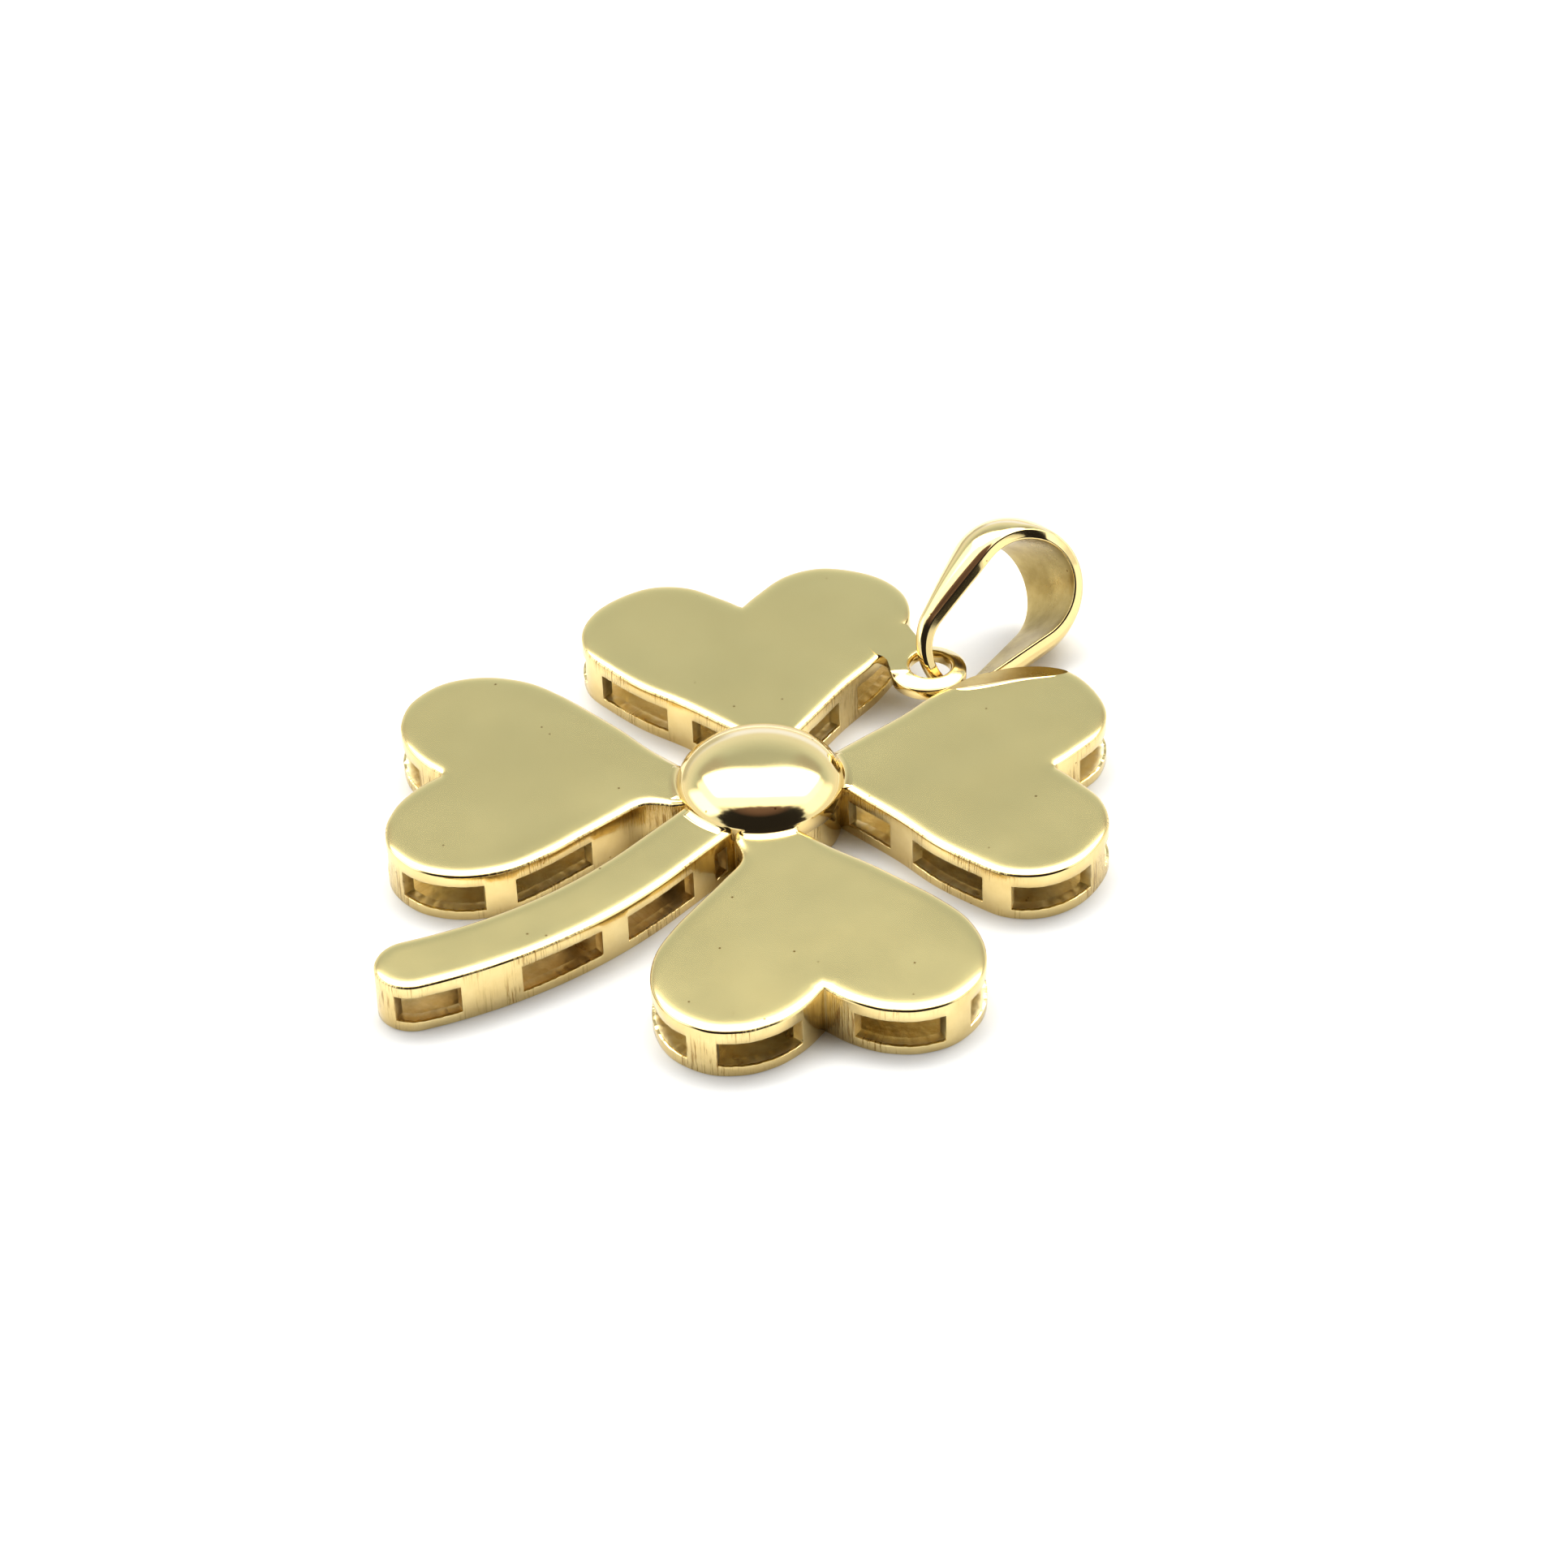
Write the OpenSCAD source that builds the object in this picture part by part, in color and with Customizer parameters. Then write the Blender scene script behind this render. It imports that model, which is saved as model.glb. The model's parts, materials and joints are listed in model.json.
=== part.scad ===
// Four leaf clover pendant, lying on its back with the bail at the top (+Y).
// The flat top faces look up (+Z). The pierced side walls stand on a flat back at z = 0.

/* [Clover body] */
// Height of the body from its resting edge to the flat top
body_h = 1.5; // [1.3:0.05:2.2]
// Thickness of the flat top
plate_t = 0.36; // [0.3:0.01:0.38]
// Thickness of the side walls
wall_t = 0.35; // [0.25:0.01:0.45]
// Thickness of the flat back
back_t = 0.24; // [0.2:0.01:0.28]

/* [Upper leaves] */
// Length of an upper leaf from its hidden tip to its lobes
upper_leaf_l = 7.77; // [7.4:0.01:8]
// Width of an upper leaf across its lobes
upper_leaf_w = 9.25; // [8.8:0.01:9.4]
// Sideways distance of an upper leaf's tip from the centre line
upper_tip_x = 0.77; // [0.7:0.01:0.9]
// Height of an upper leaf's tip above the centre
upper_tip_y = 1.49; // [1.4:0.01:1.6]
// Angle of an upper leaf from straight up
upper_leaf_angle = 50.4; // [49.5:0.1:51.5]

/* [Lower leaves] */
// Length of a lower leaf from its hidden tip to its lobes
lower_leaf_l = 7.86; // [7.4:0.01:8.1]
// Width of a lower leaf across its lobes
lower_leaf_w = 8.72; // [8.4:0.01:8.9]
// Sideways distance of a lower leaf's tip from the centre line
lower_tip_x = 1.84; // [1.75:0.01:1.95]
// Depth of a lower leaf's tip below the centre
lower_tip_y = 1.03; // [0.95:0.01:1.15]
// Angle of a lower leaf from straight up
lower_leaf_angle = 129.9; // [129:0.1:131]

/* [Pierced windows] */
// Height of the rail left below the windows
rail_h = 0.3; // [0.2:0.01:0.4]
// Thickness left above the windows
window_roof_t = 0.4; // [0.38:0.01:0.5]
// Length of a window along the wall
window_l = 2.45; // [2:0.05:2.6]
// Width of the posts between the windows
post_w = 0.85; // [0.6:0.05:1.1]
// Distance from a leaf's notch to its first window
notch_post_w = 0.95; // [0.8:0.05:1.2]
// Distance from the last window to a leaf's hidden tip
tip_post_w = 1.1; // [1:0.05:1.4]

/* [Stem] */
// Width of the stem where it leaves the dome
stem_top_w = 1.68; // [1.5:0.01:1.8]
// Width of the stem at its round end
stem_end_w = 1.94; // [1.8:0.01:2.1]
// Length of the straight upper run, from the stem's hidden root
stem_straight_l = 3.3; // [2.8:0.1:3.8]
// Bend radius of the stem's lower run
stem_bend_r = 13.6; // [12:0.1:18]
// Angle through which the lower run bends
stem_bend_angle = 31; // [26:0.5:32]
// Depth of the stem's root below the centre
stem_root_y = 1; // [0.8:0.05:1.2]
// Distance from the stem's root to its first whole window
stem_window_first = 2.63; // [2.4:0.01:2.9]
// Length of the shorter window at the stem's round end
stem_end_window_l = 1.8; // [1.4:0.05:2]
// Distance from the middle of the round end to that window
stem_end_post_w = 0.8; // [0.6:0.05:1.1]
// Distance from the dome's core to the short window beside it
stem_root_post_w = 0.15; // [0.1:0.01:0.3]

/* [Dome] */
// Radius of the domed boss
dome_r = 2.29; // [2.2:0.01:2.4]
// Height of the dome above the flat top
dome_h = 0.85; // [0.6:0.01:1.1]
// Fullness of the dome's profile, where 2 is an ellipse
dome_fullness = 2.35; // [2:0.05:3]
// Inset of the round core below the dome from the dome's edge
core_inset = 0.14; // [0.1:0.01:0.2]

/* [Ring lug] */
// Height of the lug's centre above the dome's centre
lug_y = 6.74; // [6.6:0.01:6.85]
// Sideways offset of the lug's centre
lug_x = 0.17; // [0.1:0.01:0.2]
// Outer radius of the lug
lug_r = 1.06; // [1.04:0.01:1.12]
// Radius of the lug's hole
lug_hole_r = 0.56; // [0.52:0.01:0.58]
// Distance of the hole's centre above the lug's centre
lug_hole_shift = 0.09; // [0.05:0.01:0.12]
// Thickness of the lug
lug_t = 0.42; // [0.36:0.01:0.5]
// Chamfer of the lug's edges
lug_chamfer = 0.12; // [0.08:0.01:0.15]
// Width of the web that joins the lug to both upper leaves
lug_web_w = 2.4; // [2.3:0.05:2.6]
// Length of that web along the pendant
lug_web_l = 0.8; // [0.6:0.05:0.9]

/* [Filed corner] */
// Slope of the corner filed away beside the bail
filed_slope = 14; // [10:1:20]
// Direction of the filed edge from the X axis
filed_angle = 52.2; // [50:0.1:54]
// Sideways place where the filed edge starts
filed_x = 1.33; // [1.25:0.01:1.4]
// Height above the centre where the filed edge starts
filed_y = 6.35; // [6.25:0.01:6.5]

/* [Bail] */
// Inner radius of the bail's narrow end
bail_pinch_r = 1.04; // [1:0.01:1.1]
// Inner radius of the bail's round end
bail_round_r = 1.4; // [1.3:0.01:1.5]
// Distance between the centres of the two ends
bail_span = 2.3; // [2.1:0.01:2.6]
// Width of the band at the narrow end
bail_pinch_w = 0.32; // [0.28:0.01:0.36]
// Width of the band at the round end
bail_round_w = 2.55; // [2.35:0.01:2.7]
// Slowness of the widening from the narrow end, where 1 is even
bail_widening = 1.2; // [1.1:0.05:1.5]
// Quickness of the crown's rise from the narrow end, where 1 is even
bail_crowning = 2.6; // [1:0.1:4]
// Thickness of the band at its edges
bail_edge_t = 0.3; // [0.24:0.01:0.34]
// Height of the band's crown at the round end
bail_crown_h = 0.4; // [0.3:0.01:0.46]
// Height of the band's crown at the narrow end
bail_pinch_crown_h = 0.05; // [0.03:0.01:0.07]
// Gap between the bail and the rim of the lug that it hangs on
bail_slack = 0.31; // [0.27:0.01:0.34]
// Height of the bail's turning axis above the middle of the lug
bail_lift = 0.04; // [0:0.01:0.08]
// Sideways distance of the bail from the lug's centre, to the left
bail_side = 0.01; // [0:0.01:0.04]
// Turn of the bail to the left, seen from above
bail_yaw_angle = 2; // [0:0.5:4]
// Lean of the bail about its own length
bail_lean_angle = 33; // [28:0.5:36]

/* [Hidden] */
$fn = 64;

// Colour of yellow gold
gold = [0.87, 0.79, 0.5];
// Overlap that carries a cut past a face
cut_past = 0.5;
// Length of the filed edge
filed_l = 2.2;
// Distance by which a window cut passes both faces of its wall
window_reach = 0.2;
// Steps of an outline between two rows of a table
outline_steps = 3;
// Steps along a window
window_steps = 6;
// Steps along the stem's straight run and along its bend
stem_steps = 3;
stem_bend_steps = 12;
// Steps of the round end of the stem and of the dome's profile
stem_end_steps = 6;
dome_steps = 16;
// Steps around the bail's round end, around its narrow end and along a leg
bail_round_steps = 26;
bail_pinch_steps = 16;
bail_leg_steps = 5;
// Lowest and highest rise of the bail between which its rest is looked for
rise_low_angle = -20;
rise_high_angle = 60;
rise_steps = 24;

// Half outline of an upper leaf, from its notch to its hidden tip.
// Columns: share of the leaf's length from the tip, share of its half width.
upper_half = [
  [0.819, 0],
  [0.884, 0.110],
  [0.972, 0.295],
  [1.000, 0.510],
  [0.963, 0.715],
  [0.887, 0.889],
  [0.776, 0.990],
  [0.647, 0.985],
  [0.532, 0.872],
  [0.402, 0.703],
  [0.277, 0.484],
  [0.139, 0.275],
  [0.000, 0.065]
];

// Half outline of a lower leaf on the side away from the stem, same columns.
lower_half = [
  [0.834, 0],
  [0.893, 0.095],
  [0.944, 0.210],
  [0.982, 0.345],
  [1.000, 0.530],
  [0.970, 0.746],
  [0.868, 0.932],
  [0.722, 0.997],
  [0.571, 0.941],
  [0.447, 0.800],
  [0.327, 0.611],
  [0.224, 0.440],
  [0.120, 0.245],
  [0.000, 0.060]
];

// Half outline of a lower leaf on its stem side, same columns.
lower_stem_half = [
  [0.834, 0],
  [0.893, 0.095],
  [0.944, 0.210],
  [0.982, 0.345],
  [1.000, 0.530],
  [0.970, 0.746],
  [0.868, 0.932],
  [0.722, 0.997],
  [0.571, 0.941],
  [0.447, 0.800],
  [0.327, 0.611],
  [0.224, 0.442],
  [0.130, 0.308],
  [0.030, 0.322]
];

// Whole window pitch along a wall
window_pitch = window_l + post_w;
// Top of the windows
window_top = body_h - window_roof_t;
// Top of the hollow below the flat top
hollow_top = body_h - plate_t;
// Radius of the round core below the dome
core_r = dome_r - core_inset;

// Last item of a list
function last(list) = list[len(list) - 1];

// Unit vector of a plane vector
function unit(v) = v / norm(v);

// Item of a list, held at its ends
function held(list, i) = list[max(0, min(len(list) - 1, i))];

// Point of a smooth curve between b and c, with neighbours a and d
function smooth_point(a, b, c, d, t) =
  0.5 * (2 * b + (c - a) * t + (2 * a - 5 * b + 4 * c - d) * t * t
         + (3 * b - a - 3 * c + d) * t * t * t);

// Smooth curve through all points of a list
function smooth_curve(points) = concat(
  [
    for (i = [0:len(points) - 2], j = [0:outline_steps - 1])
      smooth_point(held(points, i - 1), points[i], points[i + 1], held(points, i + 2), j / outline_steps)
  ],
  [last(points)]
);

// Right-hand normal of a curve at point i
function side_normal(curve, i) =
  let (d = unit(held(curve, i + 1) - held(curve, i - 1))) [d[1], -d[0]];

// Curve moved to its right by a distance
function moved_curve(curve, distance) =
  [for (i = [0:len(curve) - 1]) curve[i] + distance * side_normal(curve, i)];

// Lengths of a curve up to each of its points
function curve_lengths(curve) = [
  for (i = 0, s = 0; i < len(curve); s = s + norm(held(curve, i + 1) - curve[i]), i = i + 1) s
];

// Point of a curve at a distance from its start
function point_at(curve, lengths, s) = [
  lookup(s, [for (i = [0:len(curve) - 1]) [lengths[i], curve[i][0]]]),
  lookup(s, [for (i = [0:len(curve) - 1]) [lengths[i], curve[i][1]]])
];

// List in reverse order
function reversed(list) = [for (i = [len(list) - 1:-1:0]) list[i]];

// Points mirrored to the left side
function to_left(points) = [for (p = points) [-p[0], p[1]]];

// Right half outline of a leaf in millimetres, notch to tip, leaf axis along Y
function half_curve(table, leaf_l, leaf_w) =
  smooth_curve([for (row = table) [row[1] * leaf_w / 2, row[0] * leaf_l]]);

// Closed leaf outline from its two halves, moved inwards by an inset
function leaf_outline(right_half, left_half, inset) = concat(
  [[0, right_half[0][1] - inset]],
  [for (i = [1:len(right_half) - 1]) right_half[i] + inset * side_normal(right_half, i)],
  to_left([for (i = [len(left_half) - 1:-1:1]) left_half[i] + inset * side_normal(left_half, i)])
);

// Centre line of the stem at a share of its bend
function stem_centre(angle) = [
  -stem_bend_r * (1 - cos(angle)),
  -stem_root_y - stem_straight_l - stem_bend_r * sin(angle)
];

// Half width of the stem at a distance below its root
function stem_half_w(y) =
  let (end_y = stem_straight_l + stem_bend_r * sin(stem_bend_angle))
  (stem_top_w + (stem_end_w - stem_top_w) * y / end_y) / 2;

// One side of the stem from its root to the middle of its round end; side is 1 at the right
function stem_side(side) = concat(
  [
    for (i = [0:stem_steps - 1])
      let (y = stem_straight_l * i / stem_steps)
      [side * stem_half_w(y), -stem_root_y - y]
  ],
  [
    for (i = [0:stem_bend_steps - 1])
      let (a = stem_bend_angle * i / stem_bend_steps)
      stem_centre(a) + side * stem_half_w(stem_straight_l + stem_bend_r * sin(a)) * [cos(a), -sin(a)]
  ],
  [
    for (i = [0:stem_end_steps])
      let (a = 90 * i / stem_end_steps)
      stem_centre(stem_bend_angle)
      + stem_end_w / 2 * (side * cos(a) * [cos(stem_bend_angle), -sin(stem_bend_angle)]
                          + sin(a) * [-sin(stem_bend_angle), -cos(stem_bend_angle)])
  ]
);

// Closed stem outline, moved inwards by an inset
function stem_outline(inset) =
  let (right = stem_side(1), left = to_left(stem_side(-1)))
  concat(
    moved_curve(right, inset),
    to_left([for (i = [len(left) - 2:-1:0]) left[i] + inset * side_normal(left, i)])
  );

// Ribbon along a wall that cuts one window, from distance s0 to s1 of a half outline
module window_cut(half, s0, s1) {
  lengths = curve_lengths(half);
  places = [for (i = [0:window_steps]) s0 + (s1 - s0) * i / window_steps];
  line = [for (s = places) point_at(half, lengths, s)];
  translate([0, 0, rail_h])
    linear_extrude(window_top - rail_h)
      polygon(concat(
        moved_curve(line, -window_reach),
        reversed(moved_curve(line, wall_t + window_reach))
      ));
}

// All windows of one side, where the first one starts at a distance and none passes the end
module window_row(half, first, stop) {
  for (s = [first:window_pitch:stop - post_w])
    window_cut(half, s, min(s + window_l, stop));
}

// Windows of one half of a leaf
module leaf_windows(half) {
  window_row(half, notch_post_w, last(curve_lengths(half)) - tip_post_w);
}

// One hollow leaf with pierced walls, leaf axis along Y and its tip at the origin
module leaf(right_half, left_half) {
  difference() {
    linear_extrude(body_h)
      polygon(leaf_outline(right_half, left_half, 0));
    translate([0, 0, back_t])
      linear_extrude(hollow_top - back_t)
        polygon(leaf_outline(right_half, left_half, wall_t));
    leaf_windows(right_half);
    mirror([1, 0, 0])
      leaf_windows(left_half);
  }
}

// Upper leaf on the right side
module upper_leaf() {
  half = half_curve(upper_half, upper_leaf_l, upper_leaf_w);
  translate([upper_tip_x, upper_tip_y, 0])
    rotate([0, 0, -upper_leaf_angle])
      leaf(half, half);
}

// Lower leaf on the right side
module lower_leaf() {
  translate([lower_tip_x, -lower_tip_y, 0])
    rotate([0, 0, -lower_leaf_angle])
      leaf(
        half_curve(lower_stem_half, lower_leaf_l, lower_leaf_w),
        half_curve(lower_half, lower_leaf_l, lower_leaf_w)
      );
}

// Windows of one side of the stem, with a short one at either end
module stem_windows(side) {
  end = last(curve_lengths(side)) - stem_end_post_w;
  window_cut(side, core_r - stem_root_y + stem_root_post_w, stem_window_first - post_w);
  window_row(side, stem_window_first, end - stem_end_window_l - post_w);
  window_cut(side, end - stem_end_window_l, end);
}

// Hollow stem that bends to the left and ends round
module stem() {
  right = stem_side(1);
  left = to_left(stem_side(-1));
  difference() {
    linear_extrude(body_h)
      polygon(stem_outline(0));
    translate([0, 0, back_t])
      linear_extrude(hollow_top - back_t)
        polygon(stem_outline(wall_t));
    stem_windows(right);
    mirror([1, 0, 0])
      stem_windows(left);
  }
}

// Domed boss on the round core that joins the leaves and the stem below it
module dome() {
  rotate_extrude()
    polygon(concat(
      [[0, hollow_top], [dome_r, hollow_top]],
      [
        for (i = [0:dome_steps])
          let (a = 90 * i / dome_steps)
          [dome_r * pow(cos(a), 2 / dome_fullness), body_h + dome_h * pow(sin(a), 2 / dome_fullness)]
      ]
    ));
  cylinder(h = hollow_top + plate_t / 2, r = core_r);
}

// Flat disc with a web to each upper leaf, which carries the bail
module ring_lug() {
  translate([lug_x, lug_y, body_h - lug_t]) {
    rotate_extrude()
      polygon([
        [0, 0],
        [lug_r, 0],
        [lug_r, lug_t - lug_chamfer],
        [lug_r - lug_chamfer, lug_t],
        [0, lug_t]
      ]);
    translate([-lug_web_w / 2, -lug_web_l / 2, 0])
      cube([lug_web_w, lug_web_l, lug_t]);
  }
}

// Chamfered hole through the lug, which also bites the left upper leaf's edge
module lug_hole() {
  translate([lug_x, lug_y + lug_hole_shift, body_h - lug_t])
    rotate_extrude()
      polygon([
        [0, -cut_past],
        [lug_hole_r + lug_chamfer + cut_past, -cut_past],
        [lug_hole_r, lug_chamfer],
        [lug_hole_r, lug_t - lug_chamfer],
        [lug_hole_r + lug_chamfer + cut_past, lug_t + cut_past],
        [0, lug_t + cut_past]
      ]);
}

// Slope filed off the right upper leaf beside the bail
module filed_corner() {
  translate([filed_x, filed_y, body_h])
    rotate([0, 0, filed_angle])
      rotate([-filed_slope, 0, 0])
        translate([-filed_l / 2, 0, 0])
          cube([2 * filed_l, filed_l, body_h]);
}

module clover_body() color(gold) {
  difference() {
    union() {
      difference() {
        upper_leaf();
        filed_corner();
      }
      mirror([1, 0, 0])
        upper_leaf();
      ring_lug();
    }
    lug_hole();
  }
  lower_leaf();
  mirror([1, 0, 0])
    lower_leaf();
  stem();
  dome();
}

// Turning axis of the bail, beside the far rim of the lug
bail_pivot = [
  lug_x - bail_side,
  lug_y + lug_hole_shift + lug_hole_r - bail_slack + bail_pinch_r,
  body_h - lug_t / 2 + bail_lift
];

// Length, width and height directions of the bail at a rise of its round end
function bail_length_dir(rise) =
  [-sin(bail_yaw_angle) * cos(rise), cos(bail_yaw_angle) * cos(rise), sin(rise)];
function bail_level_dir() = [cos(bail_yaw_angle), sin(bail_yaw_angle), 0];
function bail_width_dir(rise) =
  cos(bail_lean_angle) * bail_level_dir()
  + sin(bail_lean_angle) * cross(bail_level_dir(), bail_length_dir(rise));
function bail_height_dir(rise) = cross(bail_width_dir(rise), bail_length_dir(rise));

// Half angle of the round end's arc, where the straight legs start
bail_arc = acos((bail_pinch_r - bail_round_r) / bail_span);

// Inner path of the band: rows of distance along, height, and outward direction
function arc_rows(x, r, from, to, steps) = [
  for (i = [0:steps])
    let (a = from + (to - from) * i / steps)
    [x + r * cos(a), r * sin(a), cos(a), sin(a)]
];
function leg_rows(a, b, steps) = [for (i = [1:steps - 1]) a + (b - a) * i / steps];
round_rows = arc_rows(bail_span, bail_round_r, -bail_arc, bail_arc, bail_round_steps);
pinch_rows = arc_rows(0, bail_pinch_r, bail_arc, 360 - bail_arc, bail_pinch_steps);
bail_rows = concat(
  round_rows,
  leg_rows(last(round_rows), pinch_rows[0], bail_leg_steps),
  pinch_rows,
  leg_rows(last(pinch_rows), round_rows[0], bail_leg_steps)
);

// Share of the way from the narrow end to the round end at a row
function bail_way(row) = (row[0] + bail_pinch_r) / (bail_pinch_r + bail_span + bail_round_r);

// Places across the band, as shares of its width, where the first two are on the inner face
bail_across = [-0.5, 0.5, 0.5, 0.33, 0.17, 0, -0.17, -0.33, -0.5];

// Ring of points around the band at one row
function bail_ring(row, rise) =
  let (
    w = bail_pinch_w + (bail_round_w - bail_pinch_w) * pow(bail_way(row), bail_widening),
    crown = bail_crown_h - (bail_crown_h - bail_pinch_crown_h) * pow(1 - bail_way(row), bail_crowning)
  )
  [
    for (k = [0:len(bail_across) - 1])
      let (
        u = bail_across[k],
        out = k < 2 ? 0 : bail_edge_t + crown * (1 - 4 * u * u)
      )
      bail_pivot
      + (row[0] + out * row[2]) * bail_length_dir(rise)
      + (row[1] + out * row[3]) * bail_height_dir(rise)
      + u * w * bail_width_dir(rise)
  ];

// Lowest point of the bail at a rise
function bail_lowest(rise) = min([for (row = bail_rows) for (p = bail_ring(row, rise)) p[2]]);

// Rise at which the bail rests on the same surface as the body, found by halving
function resting_rise(low, high, steps) =
  let (middle = (low + high) / 2)
  steps == 0 ? middle
  : bail_lowest(middle) < 0 ? resting_rise(middle, high, steps - 1)
  : resting_rise(low, middle, steps - 1);
bail_rise = resting_rise(rise_low_angle, rise_high_angle, rise_steps);

module bail() color(gold) {
  rings = [for (row = bail_rows) bail_ring(row, bail_rise)];
  n = len(bail_across);
  count = len(rings);
  polyhedron(
    points = [for (ring = rings) each ring],
    faces = [
      for (k = [0:count - 1], i = [0:n - 1], h = [0, 1])
        let (
          next = (k + 1) % count,
          j = (i + 1) % n
        )
        h == 0 ? [k * n + i, next * n + i, next * n + j] : [k * n + i, next * n + j, k * n + j]
    ]
  );
}

clover_body();
bail();
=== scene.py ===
# %% [markdown]
# # A clover pendant in yellow gold
# The pendant is a jeweller's hollow build: a thin flat back, thin upright walls with windows sawn
# through them, a flat top, a domed boss in the middle, a ring lug at the top and a loose bail in it.
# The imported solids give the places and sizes, so they are loaded first and nothing of them is moved.
# This lesson then dresses them with finer meshes, finishes and light.

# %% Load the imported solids
import json
import math

import bmesh
import bpy
from mathutils import Matrix, Vector


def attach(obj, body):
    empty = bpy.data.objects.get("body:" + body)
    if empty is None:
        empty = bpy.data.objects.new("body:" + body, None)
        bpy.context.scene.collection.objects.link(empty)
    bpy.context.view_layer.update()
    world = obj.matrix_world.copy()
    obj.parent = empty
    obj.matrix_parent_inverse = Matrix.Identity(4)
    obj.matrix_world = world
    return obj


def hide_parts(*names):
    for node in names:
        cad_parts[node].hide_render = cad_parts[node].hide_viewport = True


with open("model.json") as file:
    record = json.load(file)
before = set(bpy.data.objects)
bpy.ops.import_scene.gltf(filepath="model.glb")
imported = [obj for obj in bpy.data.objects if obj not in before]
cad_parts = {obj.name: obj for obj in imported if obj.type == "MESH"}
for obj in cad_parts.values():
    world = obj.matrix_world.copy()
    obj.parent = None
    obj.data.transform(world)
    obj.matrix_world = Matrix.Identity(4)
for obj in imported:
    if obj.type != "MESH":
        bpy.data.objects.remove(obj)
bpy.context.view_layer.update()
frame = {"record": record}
MM = 0.001


# %% [markdown]
# ## The camera
# The photo is a close view with a long lens. The camera could be placed by eye, but a view that was
# worked out from the outline of the leaves is surer, so its place, its aim and its small roll are
# given as numbers here, and everything else is judged through it.

# %% Place the camera
camera_data = bpy.data.cameras.new("photo_camera")
camera_data.sensor_width = 36.0
camera_data.lens = 114.22
camera_data.clip_start = 0.005
camera_data.clip_end = 20.0
camera = bpy.data.objects.new("photo_camera", camera_data)
bpy.context.scene.collection.objects.link(camera)
camera_place = Vector((71.658, -75.612, 84.606)) * MM
camera_aim = Vector((0.580, 0.303, 1.5)) * MM
camera_roll = math.radians(-2.294)
look = (camera_aim - camera_place).normalized()
camera.matrix_world = (
    Matrix.Translation(camera_place)
    @ look.to_track_quat("-Z", "Y").to_matrix().to_4x4()
    @ Matrix.Rotation(camera_roll, 4, "Z")
)
bpy.context.scene.camera = camera
bpy.context.scene.view_settings.view_transform = "Standard"
bpy.context.scene.view_settings.look = "None"
print("camera to aim in mm:", round((camera_aim - camera_place).length / MM, 1))

# %% [markdown]
# ## Light
# Polished gold has hardly any colour of its own: what shows is the room in it. So the room matters
# more than the lamps. It could be built from white cards and area lamps, but cards would have to be
# hidden from other views, so the room is drawn in the world shader, from directions alone. It has a
# pale wall behind, a wide white softbox high above, brighter windows at both sides, and the dark
# side where the observer stands. The dark side draws the fine line under each rim.


# %% Directions of the room
def room_direction(turn, rise):
    """turn is to the right of straight behind the pendant, rise above the table, both in degrees."""
    behind = Vector((-0.684, 0.730, 0.0)).normalized()
    right = Vector((behind.y, -behind.x, 0.0))
    a, e = math.radians(turn), math.radians(rise)
    return (behind * math.cos(a) + right * math.sin(a)) * math.cos(e) + Vector((0, 0, math.sin(e)))


print("straight behind:", tuple(round(c, 3) for c in room_direction(0, 0)))


# %% Helpers for shader nodes
def add_node(tree, kind, place, settings=None, values=None):
    node = tree.nodes.new(kind)
    node.location = place
    for key, value in (settings or {}).items():
        setattr(node, key, value)
    for key, value in (values or {}).items():
        node.inputs[key].default_value = value
    return node


def group_with(name, inputs, outputs):
    group = bpy.data.node_groups.new(name, "ShaderNodeTree")
    for label, kind, value in inputs:
        socket = group.interface.new_socket(name=label, in_out="INPUT", socket_type=kind)
        socket.default_value = value
    for label, kind in outputs:
        group.interface.new_socket(name=label, in_out="OUTPUT", socket_type=kind)
    start = add_node(group, "NodeGroupInput", (-1000, 0))
    end = add_node(group, "NodeGroupOutput", (600, 0))
    return group, start, end


print("node helpers ready")


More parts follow.
